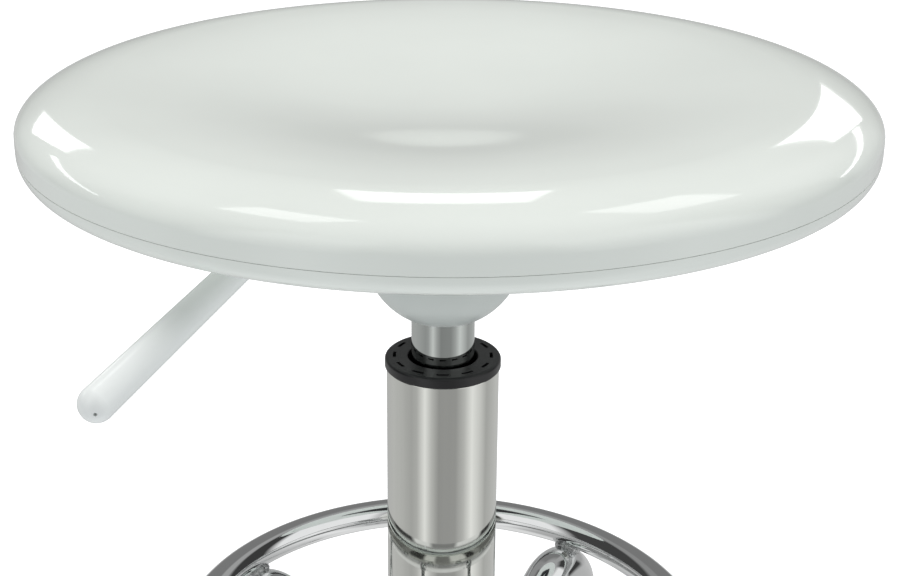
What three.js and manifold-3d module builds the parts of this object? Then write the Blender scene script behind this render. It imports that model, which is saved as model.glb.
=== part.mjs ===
// Adjustable swivel stool: a round dished seat on a gas-lift column, with four bent legs and a foot ring.
// Millimetres, +Z up. The origin is on the swivel axis, at floor level.
import * as THREE from 'three';
import { mergeVertices } from 'three/addons/utils/BufferGeometryUtils.js';
import Module from 'manifold-3d';

const wasm = await Module();
wasm.setup();

// ---------- Driving dimensions ----------

// Gap between two pieces that touch or slide on each other.
const GAP = 0.3;
// How far a cutting tool reaches past the face it cuts.
const OVERCUT = 1;

// Seat shell and pan
const SEAT_RADIUS = 177.5;
const SEAT_WALL = 3.5;
const SEAT_SIDE_HEIGHT = 6;
const RIM_WIDTH = 34;
const RIM_DROP = 14;
const DISH_DEPTH = 13.2;
const PAN_WALL = 3;
const PAN_LEDGE = 20;
const PAN_RECESS = 2.8;
const PAN_LIP_WALL = 2.5;
const BOSS_HEIGHT = 6.4;
const BOSS_DIAMETER = 14;
const INSERT_LENGTH = 8;
const INSERT_WALL = 1.5;

// Seat plate, socket and hub cover
const PLATE_SIZE = 150;
const PLATE_CORNER = 16;
const PLATE_THICKNESS = 3;
const SCREW_SPACING = 116;
const SCREW_DIAMETER = 6;
const SCREW_HEAD_DIAMETER = 12;
const SCREW_HEAD_HEIGHT = 3.5;
const SCREW_CROWN_SHARE = 0.6;
const SCREW_KEY = 4;
const SOCKET_WALL = 5.7;
const SOCKET_RISE = 15;
const COVER_WALL = 2.5;
const COVER_FOOT_WIDTH = 4;
const COVER_FLARE = 5.5;
const COVER_BORE_CLEARANCE = 1;
const COVER_BRACKET_CLEARANCE = 1.5;

// Column
const COLUMN_BOTTOM = 191;
const COLUMN_LENGTH = 250;
const COLUMN_DIAMETER = 50;
const COLUMN_WALL = 1.5;
const COLLAR_THICKNESS = 4.7;
const COLLAR_OVERHANG = 0.8;
const COLLAR_CHAMFER = 1.5;
const COLLAR_SPIGOT = 5;
const COLLAR_BORE_CLEARANCE = 1.5;
const COLLAR_SLOTS = 12;
const COLLAR_SLOT_ANGLE = 15;
const COLLAR_SLOT_WIDTH = 1.4;
const COLLAR_SLOT_DEPTH = 2;
const COLLAR_SLOT_INSET = 3.6;
const SLEEVE_LENGTH = 90;

// Gas lift
const LIFT_DIAMETER = 28;
const LIFT_WALL = 2;
const LIFT_SHOWING = 21;
const STROKE = 140;
const TAPER_LENGTH = 40;
const TAPER_DROP = 0.75;
const ROD_DIAMETER = 10;
const ROD_NECK_DIAMETER = 7;
const ROD_TAIL_CLEARANCE = 1;
const CLIP_GROOVE_DEPTH = 0.7;
const CLIP_DIAMETER = 14;
const CLIP_THICKNESS = 1.2;
const CLIP_OPENING = 5;
const DISC_RECESS = 6;
const DISC_THICKNESS = 4;
const BEARING_DIAMETER = 24;
const WASHER_THICKNESS = 1.5;
const BALL_DIAMETER = 4;
const BALL_COUNT = 6;
const CAGE_THICKNESS = 2;
const BUFFER_HEIGHT = 10;
const ROD_GUIDE_LENGTH = 13;
const ROD_SEAL_LENGTH = 5;
const PISTON_LENGTH = 16;
const PISTON_SEAL_LENGTH = 4;
const PISTON_SEAL_DEPTH = 3;
const PISTON_MARGIN = 2;
const NUT_FLATS = 13;
const NUT_HEIGHT = 6;
const VALVE_BLOCK_LENGTH = 45;
const VALVE_DIAMETER = 8;
const VALVE_BORE_DEPTH = 24;
const VALVE_STANDING = 8;
const VALVE_TRAVEL = 2.3;

// Height lever
const LEVER_AZIMUTH = -125;
const LEVER_ROD_DIAMETER = 6;
const LEVER_HEADROOM = 10;
const LEVER_INNER_END = -4;
const LEVER_BEND_RADIUS = 118;
const LEVER_BEND_ROUND = 12;
const LEVER_DROOP = 19.5;
const LEVER_SLOT_MARGIN = 2;
const EYE_DIAMETER = 10;
const EYE_WIDTH = 9;
const PIVOT_PIN_DIAMETER = 4;
const PIVOT_PIN_HEAD = 1;
const PIVOT_PIN_HEAD_DIAMETER = 7;
const BRACKET_THICKNESS = 2;
const BRACKET_LENGTH = 10;
const BRACKET_CLEARANCE = 1;
const HANDLE_LENGTH = 97;
const HANDLE_START = 3;
const HANDLE_BORE_DEPTH = 72;
const HANDLE_ROOT_DIAMETER = 11;
const HANDLE_END_DIAMETER = 13.5;
const HANDLE_ROOT_ROUND = 0.8;

// Legs and foot ring
const HUB_WALL = 4.7;
const HUB_HEIGHT = 50;
const HUB_RISE = 24;
const HUB_CHAMFER = 2;
const LEG_COUNT = 4;
const LEG_AZIMUTH = 55;
const LEG_DIAMETER = 24;
const LEG_WALL = 1.5;
const LEG_BEND_INSIDE = 5;
const FOOT_RADIUS = 170;
const RING_RADIUS = 119.2;
const RING_BAR = 15;
const RING_HEIGHT = 300;
const RING_CONTACT_ANGLE = 67;
const CAP_MARGIN = 4;
const CAP_TOP = 14;
const CAP_BOTTOM = 1.5;
const CAP_ROUND = 2;
const CAP_PLUG_LENGTH = 18;
const PAD_MARGIN = 4;
const PAD_THICKNESS = 3;

// Facets round a full turn
const SEAT_FACETS = 48;
const TUBE_FACETS = 24;
const SMALL_FACETS = 12;

// ---------- Radii that follow ----------

const LIFT_RADIUS = LIFT_DIAMETER / 2;
const LIFT_BORE = LIFT_RADIUS - LIFT_WALL;
const SOCKET_RADIUS = LIFT_RADIUS + GAP + SOCKET_WALL;
const ROD_RADIUS = ROD_DIAMETER / 2;
const NECK_RADIUS = ROD_NECK_DIAMETER / 2;
const SCREW_RADIUS = SCREW_DIAMETER / 2;
const LEVER_RADIUS = LEVER_ROD_DIAMETER / 2;
const LEVER_PIVOT_RADIUS = SOCKET_RADIUS + BRACKET_CLEARANCE + BRACKET_LENGTH / 2;
const BRACKET_END = LEVER_PIVOT_RADIUS + BRACKET_LENGTH / 2;
const COVER_RADIUS = BRACKET_END + COVER_BRACKET_CLEARANCE + COVER_WALL;
const COVER_FOOT_RADIUS = LIFT_RADIUS + COVER_FOOT_WIDTH;
const COVER_MOUTH_RADIUS = COVER_RADIUS + COVER_FLARE;
const HUB_RADIUS = COLUMN_DIAMETER / 2 + GAP + HUB_WALL;
const LEG_RADIUS = LEG_DIAMETER / 2;
const LEG_BEND = LEG_RADIUS + LEG_BEND_INSIDE;
const CAP_RADIUS = LEG_RADIUS + CAP_MARGIN;
const PAD_RADIUS = CAP_RADIUS - PAD_MARGIN;

// ---------- Heights that follow, from the column up to the seat ----------

const COLUMN_TOP = COLUMN_BOTTOM + COLUMN_LENGTH;
const COLUMN_BORE = COLUMN_DIAMETER / 2 - COLUMN_WALL;
const COLLAR_TOP = COLUMN_TOP + GAP + COLLAR_THICKNESS;
const COVER_BOTTOM = COLLAR_TOP + LIFT_SHOWING;
const COVER_CENTRE = COVER_BOTTOM + Math.sqrt(COVER_RADIUS ** 2 - COVER_FOOT_RADIUS ** 2);
const SOCKET_BOTTOM = COVER_BOTTOM + SOCKET_RISE;
const LIFT_TOP = SOCKET_BOTTOM + TAPER_LENGTH;
const VALVE_TOP = LIFT_TOP + VALVE_STANDING;
const LEVER_HEIGHT = VALVE_TOP + GAP + LEVER_ROD_DIAMETER / 2;
const PLATE_BOTTOM = LEVER_HEIGHT + LEVER_HEADROOM;
const PAN_FLOOR = PLATE_BOTTOM + PLATE_THICKNESS + GAP;
const PAN_BOTTOM = PAN_FLOOR - PAN_RECESS;
const BOSS_BOTTOM = PAN_FLOOR + PAN_WALL + GAP;
const DISH_HEIGHT = BOSS_BOTTOM + BOSS_HEIGHT + SEAT_WALL;
const CREST_HEIGHT = DISH_HEIGHT + DISH_DEPTH;
const RIM_SHOULDER = CREST_HEIGHT - RIM_DROP;
const SEAM_HEIGHT = RIM_SHOULDER - SEAT_SIDE_HEIGHT;

// ---------- Heights that follow, inside the column ----------

const DISC_BOTTOM = COLUMN_BOTTOM + DISC_RECESS;
const LOWER_WASHER_BOTTOM = DISC_BOTTOM + DISC_THICKNESS + GAP;
const BALL_CENTRE = LOWER_WASHER_BOTTOM + WASHER_THICKNESS + GAP + BALL_DIAMETER / 2;
const UPPER_WASHER_BOTTOM = BALL_CENTRE + BALL_DIAMETER / 2 + GAP;
const BUFFER_BOTTOM = UPPER_WASHER_BOTTOM + WASHER_THICKNESS + GAP;
const LIFT_BOTTOM = BUFFER_BOTTOM + BUFFER_HEIGHT + GAP;
const ROD_GUIDE_BOTTOM = LIFT_BOTTOM + GAP;
const ROD_SEAL_BOTTOM = ROD_GUIDE_BOTTOM + ROD_GUIDE_LENGTH + GAP;
const PISTON_BOTTOM = ROD_SEAL_BOTTOM + ROD_SEAL_LENGTH + STROKE + PISTON_MARGIN;
const NUT_BOTTOM = PISTON_BOTTOM + PISTON_LENGTH + GAP;

// ---------- Finishes ----------

const FINISHES = {
  white_plastic: { color: 0xe6ebe6, roughness: 0.18, metalness: 0 },
  cover_plastic: { color: 0xd2d8d2, roughness: 0.3, metalness: 0 },
  black_plastic: { color: 0x1c1c1e, roughness: 0.5, metalness: 0 },
  chrome: { color: 0xd6d9da, roughness: 0.08, metalness: 1 },
  satin_chrome: { color: 0xc2c6c7, roughness: 0.22, metalness: 1 },
  steel: { color: 0x9a9ea0, roughness: 0.35, metalness: 1 },
  painted_steel: { color: 0x2a2b2d, roughness: 0.55, metalness: 0.2 },
  rubber: { color: 0x202022, roughness: 0.85, metalness: 0 },
  brass: { color: 0xb5924c, roughness: 0.35, metalness: 1 },
};

// ---------- Building solids ----------

const radians = THREE.MathUtils.degToRad;

// Points of an arc in a [radius, height] profile, from one angle to another in degrees.
function arc(centreR, centreZ, radius, from, to, steps) {
  const points = [];
  for (let i = 0; i <= steps; i += 1) {
    const angle = radians(from + ((to - from) * i) / steps);
    points.push([centreR + radius * Math.cos(angle), centreZ + radius * Math.sin(angle)]);
  }
  return points;
}

// A profile of [radius, height] points, counter-clockwise, turned about Z. It closes on itself.
function turned(profile, facets = TUBE_FACETS) {
  const points = [...profile, profile[0]].map(([r, z]) => new THREE.Vector2(r, z));
  return new THREE.LatheGeometry(points, facets).rotateX(Math.PI / 2);
}

function bar(radius, bottom, top, facets = TUBE_FACETS) {
  return turned([[0, bottom], [radius, bottom], [radius, top], [0, top]], facets);
}

function ring(inner, outer, bottom, top, facets = TUBE_FACETS) {
  return turned([[inner, bottom], [outer, bottom], [outer, top], [inner, top]], facets);
}

function block(sizeX, sizeY, sizeZ, x, y, z) {
  return new THREE.BoxGeometry(sizeX, sizeY, sizeZ).translate(x, y, z);
}

function hexagonal(acrossFlats, bottom, top) {
  const radius = acrossFlats / Math.sqrt(3);
  const prism = new THREE.CylinderGeometry(radius, radius, top - bottom, 6);
  return prism.rotateX(Math.PI / 2).translate(0, 0, (bottom + top) / 2);
}

// A flat outline extruded upwards from a height.
function plate(shape, bottom, top, curveSegments) {
  const options = { depth: top - bottom, bevelEnabled: false, curveSegments };
  return new THREE.ExtrudeGeometry(shape, options).translate(0, 0, bottom);
}

function toSolid(geometry) {
  const bare = geometry.clone();
  bare.deleteAttribute('normal');
  bare.deleteAttribute('uv');
  const merged = mergeVertices(bare, 1e-4);
  const vertProperties = merged.attributes.position.array;
  const triVerts = new Uint32Array(merged.index.array);
  return new wasm.Manifold(new wasm.Mesh({ numProp: 3, vertProperties, triVerts }));
}

function toGeometry(solid) {
  const mesh = solid.getMesh();
  const geometry = new THREE.BufferGeometry();
  geometry.setAttribute('position', new THREE.Float32BufferAttribute(mesh.vertProperties, 3));
  geometry.setIndex(new THREE.Uint32BufferAttribute(mesh.triVerts, 1));
  geometry.computeVertexNormals();
  return geometry;
}

function cut(geometry, ...tools) {
  return toGeometry(tools.reduce((solid, tool) => solid.subtract(toSolid(tool)), toSolid(geometry)));
}

function joined(geometry, ...others) {
  return toGeometry(others.reduce((solid, other) => solid.add(toSolid(other)), toSolid(geometry)));
}

// A path that is sampled only at its own stations, so a straight run takes one step and a bend several.
class StationedPath extends THREE.Curve {
  constructor(stations) {
    super();
    this.stations = stations;
  }

  at(t) {
    return this.stations[Math.round(t * (this.stations.length - 1))];
  }

  getPointAt(t) {
    const { point } = this.at(t);
    return new THREE.Vector3(point[0], 0, point[1]);
  }

  getTangentAt(t) {
    const { heading } = this.at(t);
    return new THREE.Vector3(Math.cos(heading), 0, Math.sin(heading));
  }
}

// A station of a path in the X-Z plane: a point and the heading in degrees from +X.
function station(point, degrees) {
  return { point, heading: radians(degrees) };
}

// Stations of a bend that turns downwards, from one heading to a lower one.
function bendStations(centre, radius, from, to, steps) {
  return arc(centre[0], centre[1], radius, from + 90, to + 90, steps).map((point, i) =>
    station(point, from + ((to - from) * i) / steps),
  );
}

// A round bar, or a tube where it has a bore, along a path in the X-Z plane.
function tubeAlong(stations, radius, bore, facets) {
  const shape = new THREE.Shape().absarc(0, 0, radius, 0, 2 * Math.PI);
  if (bore) shape.holes.push(new THREE.Path().absarc(0, 0, bore, 0, 2 * Math.PI));
  return new THREE.ExtrudeGeometry(shape, {
    extrudePath: new StationedPath(stations),
    steps: stations.length - 1,
    curveSegments: facets / 2,
    bevelEnabled: false,
  });
}

const stool = new THREE.Group();
const base = new THREE.Group();
const rodGroup = new THREE.Group();
const seat = new THREE.Group();
const lever = new THREE.Group();
stool.add(base, rodGroup, seat);
seat.add(lever);
lever.rotation.z = radians(LEVER_AZIMUTH);

function piece(parent, name, finish, geometry) {
  const mesh = new THREE.Mesh(geometry, new THREE.MeshStandardMaterial(FINISHES[finish]));
  mesh.name = name;
  parent.add(mesh);
  return mesh;
}

// ---------- Legs ----------

// Heading in degrees from a point to the near side of a circle: side is 1 above the centre line, -1 below.
function tangentHeading(point, centre, radius, side) {
  const [dr, dz] = [centre[0] - point[0], centre[1] - point[1]];
  const toCentre = Math.atan2(dz, dr);
  const spread = Math.asin(radius / Math.hypot(dr, dz));
  return THREE.MathUtils.radToDeg(toCentre + side * spread);
}

// A point on a line through a point at a heading in degrees, at a height.
function onLineAtHeight([r, z], degrees, height) {
  return [r + (height - z) / Math.tan(radians(degrees)), height];
}

// The ring rests on the outer shoulder of each leg's bend, at an angle above the horizontal.
const RING_TO_BEND = LEG_BEND + LEG_RADIUS + GAP + RING_BAR / 2;
const LEG_BEND_CENTRE = [
  RING_RADIUS - RING_TO_BEND * Math.cos(radians(RING_CONTACT_ANGLE)),
  RING_HEIGHT - RING_TO_BEND * Math.sin(radians(RING_CONTACT_ANGLE)),
];
const HUB_BOTTOM = COLUMN_BOTTOM + HUB_RISE;
const HUB_POINT = [HUB_RADIUS, HUB_BOTTOM + HUB_HEIGHT / 2];
const FOOT_POINT = [FOOT_RADIUS, 0];
const LEG_RISE = tangentHeading(HUB_POINT, LEG_BEND_CENTRE, LEG_BEND, 1);
const LEG_DROP = tangentHeading(FOOT_POINT, LEG_BEND_CENTRE, LEG_BEND, -1) - 180;

function legBlank() {
  const start = [HUB_POINT[0] - LEG_DIAMETER, HUB_POINT[1] - LEG_DIAMETER * Math.tan(radians(LEG_RISE))];
  const stations = [
    station(start, LEG_RISE),
    ...bendStations(LEG_BEND_CENTRE, LEG_BEND, LEG_RISE, LEG_DROP, 8),
    station(onLineAtHeight(FOOT_POINT, LEG_DROP, -LEG_DIAMETER), LEG_DROP),
  ];
  return tubeAlong(stations, LEG_RADIUS, LEG_RADIUS - LEG_WALL, SMALL_FACETS);
}

// The leg meets the hub in a saddle cut and stands in its foot cap on a level cut.
function legGeometry() {
  const hub = bar(HUB_RADIUS + GAP, 0, COLUMN_TOP);
  const reach = 4 * FOOT_RADIUS;
  const below = block(reach, reach, reach, 0, 0, CAP_TOP + GAP - reach / 2);
  return cut(legBlank(), hub, below);
}

function capGeometry() {
  const pocket = PAD_THICKNESS + GAP;
  const shell = turned([
    [0, pocket],
    [PAD_RADIUS + GAP, pocket],
    [PAD_RADIUS + GAP, CAP_BOTTOM],
    ...arc(CAP_RADIUS - CAP_ROUND, CAP_BOTTOM + CAP_ROUND, CAP_ROUND, -90, 0, 2),
    ...arc(CAP_RADIUS - CAP_ROUND, CAP_TOP - CAP_ROUND, CAP_ROUND, 0, 90, 2),
    [0, CAP_TOP],
  ], SMALL_FACETS);
  const upLeg = (distance) => {
    const heading = radians(LEG_DROP);
    return station([-distance * Math.cos(heading), CAP_TOP - distance * Math.sin(heading)], LEG_DROP);
  };
  const plugPath = [upLeg(CAP_PLUG_LENGTH), upLeg(-CAP_ROUND)];
  return joined(shell, tubeAlong(plugPath, LEG_RADIUS - LEG_WALL - GAP, 0, SMALL_FACETS));
}

function addLegs() {
  const leg = legGeometry();
  const cap = capGeometry();
  const pad = bar(PAD_RADIUS, 0, PAD_THICKNESS, SMALL_FACETS);
  const capRadius = onLineAtHeight(FOOT_POINT, LEG_DROP, CAP_TOP)[0];
  for (let i = 0; i < LEG_COUNT; i += 1) {
    const arm = new THREE.Group();
    arm.rotation.z = radians(LEG_AZIMUTH + (360 * i) / LEG_COUNT);
    base.add(arm);
    piece(arm, `leg_${i + 1}`, 'chrome', leg);
    piece(arm, `foot_cap_${i + 1}`, 'black_plastic', cap).position.x = capRadius;
    piece(arm, `foot_pad_${i + 1}`, 'rubber', pad).position.x = capRadius;
  }
}

function addFootRing() {
  const section = arc(RING_RADIUS, RING_HEIGHT, RING_BAR / 2, 0, 315, 7);
  piece(base, 'foot_ring', 'chrome', turned(section, SEAT_FACETS));
}

// ---------- Column ----------

function hubGeometry() {
  const [inner, outer] = [COLUMN_DIAMETER / 2 + GAP, HUB_RADIUS];
  return turned([
    [inner, HUB_BOTTOM],
    [outer - HUB_CHAMFER, HUB_BOTTOM],
    [outer, HUB_BOTTOM + HUB_CHAMFER],
    [outer, HUB_BOTTOM + HUB_HEIGHT - HUB_CHAMFER],
    [outer - HUB_CHAMFER, HUB_BOTTOM + HUB_HEIGHT],
    [inner, HUB_BOTTOM + HUB_HEIGHT],
  ]);
}

function collarSlot(angle) {
  const outer = COLUMN_DIAMETER / 2 + COLLAR_OVERHANG - COLLAR_SLOT_INSET;
  const inner = outer - COLLAR_SLOT_WIDTH;
  const half = radians(COLLAR_SLOT_ANGLE / 2);
  const shape = new THREE.Shape();
  shape.absarc(0, 0, outer, -half, half, false);
  shape.absarc(0, 0, inner, half, -half, true);
  return plate(shape, COLLAR_TOP - COLLAR_SLOT_DEPTH, COLLAR_TOP + OVERCUT, 2).rotateZ(angle);
}

function collarGeometry() {
  const bore = LIFT_RADIUS + COLLAR_BORE_CLEARANCE;
  const spigot = COLUMN_BORE - GAP;
  const rim = COLUMN_DIAMETER / 2 + COLLAR_OVERHANG;
  const body = turned([
    [bore, COLUMN_TOP - COLLAR_SPIGOT],
    [spigot, COLUMN_TOP - COLLAR_SPIGOT],
    [spigot, COLUMN_TOP + GAP],
    [rim, COLUMN_TOP + GAP],
    ...arc(rim - COLLAR_CHAMFER, COLLAR_TOP - COLLAR_CHAMFER, COLLAR_CHAMFER, 0, 90, 2),
    [bore, COLLAR_TOP],
  ], 1.5 * TUBE_FACETS);
  const slots = Array.from({ length: COLLAR_SLOTS }, (_, i) => collarSlot((2 * Math.PI * i) / COLLAR_SLOTS));
  return cut(body, ...slots);
}

function addColumn() {
  const outer = COLUMN_DIAMETER / 2;
  const sleeveTop = COLUMN_TOP - COLLAR_SPIGOT - GAP;
  const sleeve = ring(LIFT_RADIUS + GAP, COLUMN_BORE - GAP, sleeveTop - SLEEVE_LENGTH, sleeveTop);
  const disc = ring(NECK_RADIUS + GAP, COLUMN_BORE - GAP, DISC_BOTTOM, DISC_BOTTOM + DISC_THICKNESS);
  piece(base, 'column_tube', 'satin_chrome', ring(COLUMN_BORE, outer, COLUMN_BOTTOM, COLUMN_TOP));
  piece(base, 'column_collar', 'black_plastic', collarGeometry());
  piece(base, 'guide_sleeve', 'black_plastic', sleeve);
  piece(base, 'column_disc', 'steel', disc);
  piece(base, 'base_hub', 'chrome', hubGeometry());
}

// ---------- Thrust bearing and piston rod ----------

function washer(bottom) {
  return ring(NECK_RADIUS + GAP, BEARING_DIAMETER / 2, bottom, bottom + WASHER_THICKNESS, SMALL_FACETS);
}

function addBearing() {
  const outer = BEARING_DIAMETER / 2;
  const inner = NECK_RADIUS + GAP;
  const path = (inner + outer) / 2;
  const [low, high] = [BALL_CENTRE - CAGE_THICKNESS / 2, BALL_CENTRE + CAGE_THICKNESS / 2];
  const places = Array.from({ length: BALL_COUNT }, (_, i) => (2 * Math.PI * i) / BALL_COUNT);
  const pocketRadius = BALL_DIAMETER / 2 + GAP;
  const pocket = bar(pocketRadius, low - OVERCUT, high + OVERCUT, SMALL_FACETS).translate(path, 0, 0);
  const pockets = places.map((angle) => pocket.clone().rotateZ(angle));
  piece(base, 'bearing_washer_lower', 'steel', washer(LOWER_WASHER_BOTTOM));
  piece(rodGroup, 'bearing_washer_upper', 'steel', washer(UPPER_WASHER_BOTTOM));
  piece(rodGroup, 'bearing_cage', 'black_plastic', cut(ring(inner, outer, low, high), ...pockets));
  places.forEach((angle, i) => {
    const ball = new THREE.SphereGeometry(BALL_DIAMETER / 2, 8, 6);
    const mesh = piece(rodGroup, `bearing_ball_${i + 1}`, 'steel', ball);
    mesh.position.set(path * Math.cos(angle), path * Math.sin(angle), BALL_CENTRE);
  });
}

const CLIP_TOP = DISC_BOTTOM - GAP;
const CLIP_BOTTOM = CLIP_TOP - CLIP_THICKNESS;

function rodGeometry() {
  const groove = NECK_RADIUS - CLIP_GROOVE_DEPTH;
  const tail = COLUMN_BOTTOM + ROD_TAIL_CLEARANCE;
  const top = NUT_BOTTOM + NUT_HEIGHT + ROD_TAIL_CLEARANCE;
  return turned([
    [0, tail],
    [NECK_RADIUS, tail],
    [NECK_RADIUS, CLIP_BOTTOM - GAP],
    [groove, CLIP_BOTTOM - GAP],
    [groove, CLIP_TOP + GAP],
    [NECK_RADIUS, CLIP_TOP + GAP],
    [NECK_RADIUS, BUFFER_BOTTOM],
    [ROD_RADIUS, BUFFER_BOTTOM],
    [ROD_RADIUS, PISTON_BOTTOM - GAP],
    [NECK_RADIUS, PISTON_BOTTOM - GAP],
    [NECK_RADIUS, top],
    [0, top],
  ]);
}

function clipGeometry() {
  const inner = NECK_RADIUS - CLIP_GROOVE_DEPTH + GAP;
  const body = ring(inner, CLIP_DIAMETER / 2, CLIP_BOTTOM, CLIP_TOP);
  const opening = block(CLIP_DIAMETER, CLIP_OPENING, 2 * CLIP_DIAMETER, CLIP_DIAMETER / 2, 0, CLIP_TOP);
  return cut(body, opening);
}

function pistonGeometry() {
  const bore = NECK_RADIUS + GAP;
  const rim = LIFT_BORE - 2 * GAP;
  const groove = rim - PISTON_SEAL_DEPTH;
  const middle = PISTON_BOTTOM + PISTON_LENGTH / 2;
  const half = PISTON_SEAL_LENGTH / 2 + GAP;
  return turned([
    [bore, PISTON_BOTTOM],
    [rim, PISTON_BOTTOM],
    [rim, middle - half],
    [groove, middle - half],
    [groove, middle + half],
    [rim, middle + half],
    [rim, PISTON_BOTTOM + PISTON_LENGTH],
    [bore, PISTON_BOTTOM + PISTON_LENGTH],
  ]);
}

function addPistonRod() {
  const middle = PISTON_BOTTOM + PISTON_LENGTH / 2;
  const sealInner = LIFT_BORE - 2 * GAP - PISTON_SEAL_DEPTH + GAP;
  const [sealLow, sealHigh] = [middle - PISTON_SEAL_LENGTH / 2, middle + PISTON_SEAL_LENGTH / 2];
  const buffer = ring(ROD_RADIUS + GAP, LIFT_RADIUS, BUFFER_BOTTOM, BUFFER_BOTTOM + BUFFER_HEIGHT);
  const nutBore = bar(NECK_RADIUS + GAP, NUT_BOTTOM - OVERCUT, NUT_BOTTOM + NUT_HEIGHT + OVERCUT);
  const nut = cut(hexagonal(NUT_FLATS, NUT_BOTTOM, NUT_BOTTOM + NUT_HEIGHT), nutBore);
  piece(rodGroup, 'piston_rod', 'chrome', rodGeometry());
  piece(rodGroup, 'retaining_clip', 'steel', clipGeometry());
  piece(rodGroup, 'lift_buffer', 'rubber', buffer);
  piece(rodGroup, 'piston', 'steel', pistonGeometry());
  piece(rodGroup, 'piston_seal', 'rubber', ring(sealInner, LIFT_BORE - GAP, sealLow, sealHigh));
  piece(rodGroup, 'piston_nut', 'steel', nut);
}

// ---------- Gas cylinder ----------

// Radius of the cylinder's outside at its very top, where the taper ends.
const TAPER_END = LIFT_RADIUS - TAPER_DROP;

function cylinderGeometry() {
  return turned([
    [LIFT_BORE, LIFT_BOTTOM],
    [LIFT_RADIUS, LIFT_BOTTOM],
    [LIFT_RADIUS, SOCKET_BOTTOM],
    [TAPER_END, LIFT_TOP],
    [LIFT_BORE, LIFT_TOP],
  ]);
}

function valveBlockGeometry() {
  const bore = VALVE_DIAMETER / 2 + GAP;
  return turned([
    [0, LIFT_TOP - VALVE_BLOCK_LENGTH],
    [LIFT_BORE - GAP, LIFT_TOP - VALVE_BLOCK_LENGTH],
    [LIFT_BORE - GAP, LIFT_TOP],
    [bore, LIFT_TOP],
    [bore, LIFT_TOP - VALVE_BORE_DEPTH],
    [0, LIFT_TOP - VALVE_BORE_DEPTH],
  ]);
}

function addGasCylinder() {
  const [inner, outer] = [ROD_RADIUS + GAP, LIFT_BORE - GAP];
  const guide = ring(inner, outer, ROD_GUIDE_BOTTOM, ROD_GUIDE_BOTTOM + ROD_GUIDE_LENGTH);
  const seal = ring(inner, outer, ROD_SEAL_BOTTOM, ROD_SEAL_BOTTOM + ROD_SEAL_LENGTH);
  const buttonBottom = LIFT_TOP - VALVE_BORE_DEPTH + VALVE_TRAVEL + GAP;
  piece(seat, 'gas_cylinder', 'chrome', cylinderGeometry());
  piece(seat, 'rod_guide', 'black_plastic', guide);
  piece(seat, 'rod_seal', 'rubber', seal);
  piece(seat, 'valve_block', 'brass', valveBlockGeometry());
  piece(seat, 'valve_button', 'steel', bar(VALVE_DIAMETER / 2, buttonBottom, VALVE_TOP, SMALL_FACETS));
}

// ---------- Socket, plate and hub cover ----------

// The slot that the lever passes through, open at the top, as a block along +X.
function leverSlot(fromRadius, toRadius, top) {
  const width = LEVER_ROD_DIAMETER + 2 * LEVER_SLOT_MARGIN;
  const bottom = LEVER_HEIGHT - LEVER_RADIUS - LEVER_SLOT_MARGIN;
  const height = top + OVERCUT - bottom;
  return block(toRadius - fromRadius, width, height, (fromRadius + toRadius) / 2, 0, bottom + height / 2);
}

function socketGeometry() {
  const top = PLATE_BOTTOM - GAP;
  const upperBore = TAPER_END + GAP;
  const body = turned([
    [LIFT_RADIUS + GAP, SOCKET_BOTTOM],
    [SOCKET_RADIUS, SOCKET_BOTTOM],
    [SOCKET_RADIUS, top],
    [upperBore, top],
    [upperBore, LIFT_TOP],
  ]);
  return cut(body, leverSlot(0, SOCKET_RADIUS + OVERCUT, top));
}

function plateShape() {
  const half = PLATE_SIZE / 2;
  const inset = half - PLATE_CORNER;
  const shape = new THREE.Shape();
  shape.absarc(inset, inset, PLATE_CORNER, 0, Math.PI / 2);
  shape.absarc(-inset, inset, PLATE_CORNER, Math.PI / 2, Math.PI);
  shape.absarc(-inset, -inset, PLATE_CORNER, Math.PI, 1.5 * Math.PI);
  shape.absarc(inset, -inset, PLATE_CORNER, 1.5 * Math.PI, 2 * Math.PI);
  screwPlaces().forEach(([x, y]) => {
    shape.holes.push(new THREE.Path().absarc(x, y, SCREW_RADIUS + GAP, 0, 2 * Math.PI));
  });
  return shape;
}

function screwPlaces() {
  const half = SCREW_SPACING / 2;
  return [[half, half], [-half, half], [-half, -half], [half, -half]];
}

// The cover is a ball below its widest level and flares gently above it, up to the plate.
function coverGeometry() {
  const top = PLATE_BOTTOM - GAP;
  const innerRadius = COVER_RADIUS - COVER_WALL;
  const floor = COVER_BOTTOM + COVER_WALL;
  const bore = LIFT_RADIUS + COVER_BORE_CLEARANCE;
  const outerStart = THREE.MathUtils.radToDeg(Math.asin((COVER_BOTTOM - COVER_CENTRE) / COVER_RADIUS));
  const innerStart = THREE.MathUtils.radToDeg(Math.asin((floor - COVER_CENTRE) / innerRadius));
  const body = turned([
    [bore, COVER_BOTTOM],
    ...arc(0, COVER_CENTRE, COVER_RADIUS, outerStart, 0, 6),
    [COVER_MOUTH_RADIUS, top],
    [COVER_MOUTH_RADIUS - COVER_WALL, top],
    ...arc(0, COVER_CENTRE, innerRadius, 0, innerStart, 5),
    [bore, floor],
  ]);
  return cut(body, leverSlot(COVER_RADIUS - SOCKET_WALL, COVER_MOUTH_RADIUS + OVERCUT, top));
}

function screwGeometry() {
  const headTop = PLATE_BOTTOM - GAP;
  const headBottom = headTop - SCREW_HEAD_HEIGHT;
  const headRadius = SCREW_HEAD_DIAMETER / 2;
  const tip = BOSS_BOTTOM + INSERT_LENGTH + GAP;
  const body = turned([
    [0, headBottom],
    [headRadius * SCREW_CROWN_SHARE, headBottom],
    [headRadius, headBottom + SCREW_HEAD_HEIGHT / 2],
    [headRadius, headTop],
    [SCREW_RADIUS, headTop],
    [SCREW_RADIUS, tip],
    [0, tip],
  ], SMALL_FACETS);
  return cut(body, hexagonal(SCREW_KEY, headBottom - OVERCUT, headBottom + SCREW_HEAD_HEIGHT / 2));
}

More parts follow.
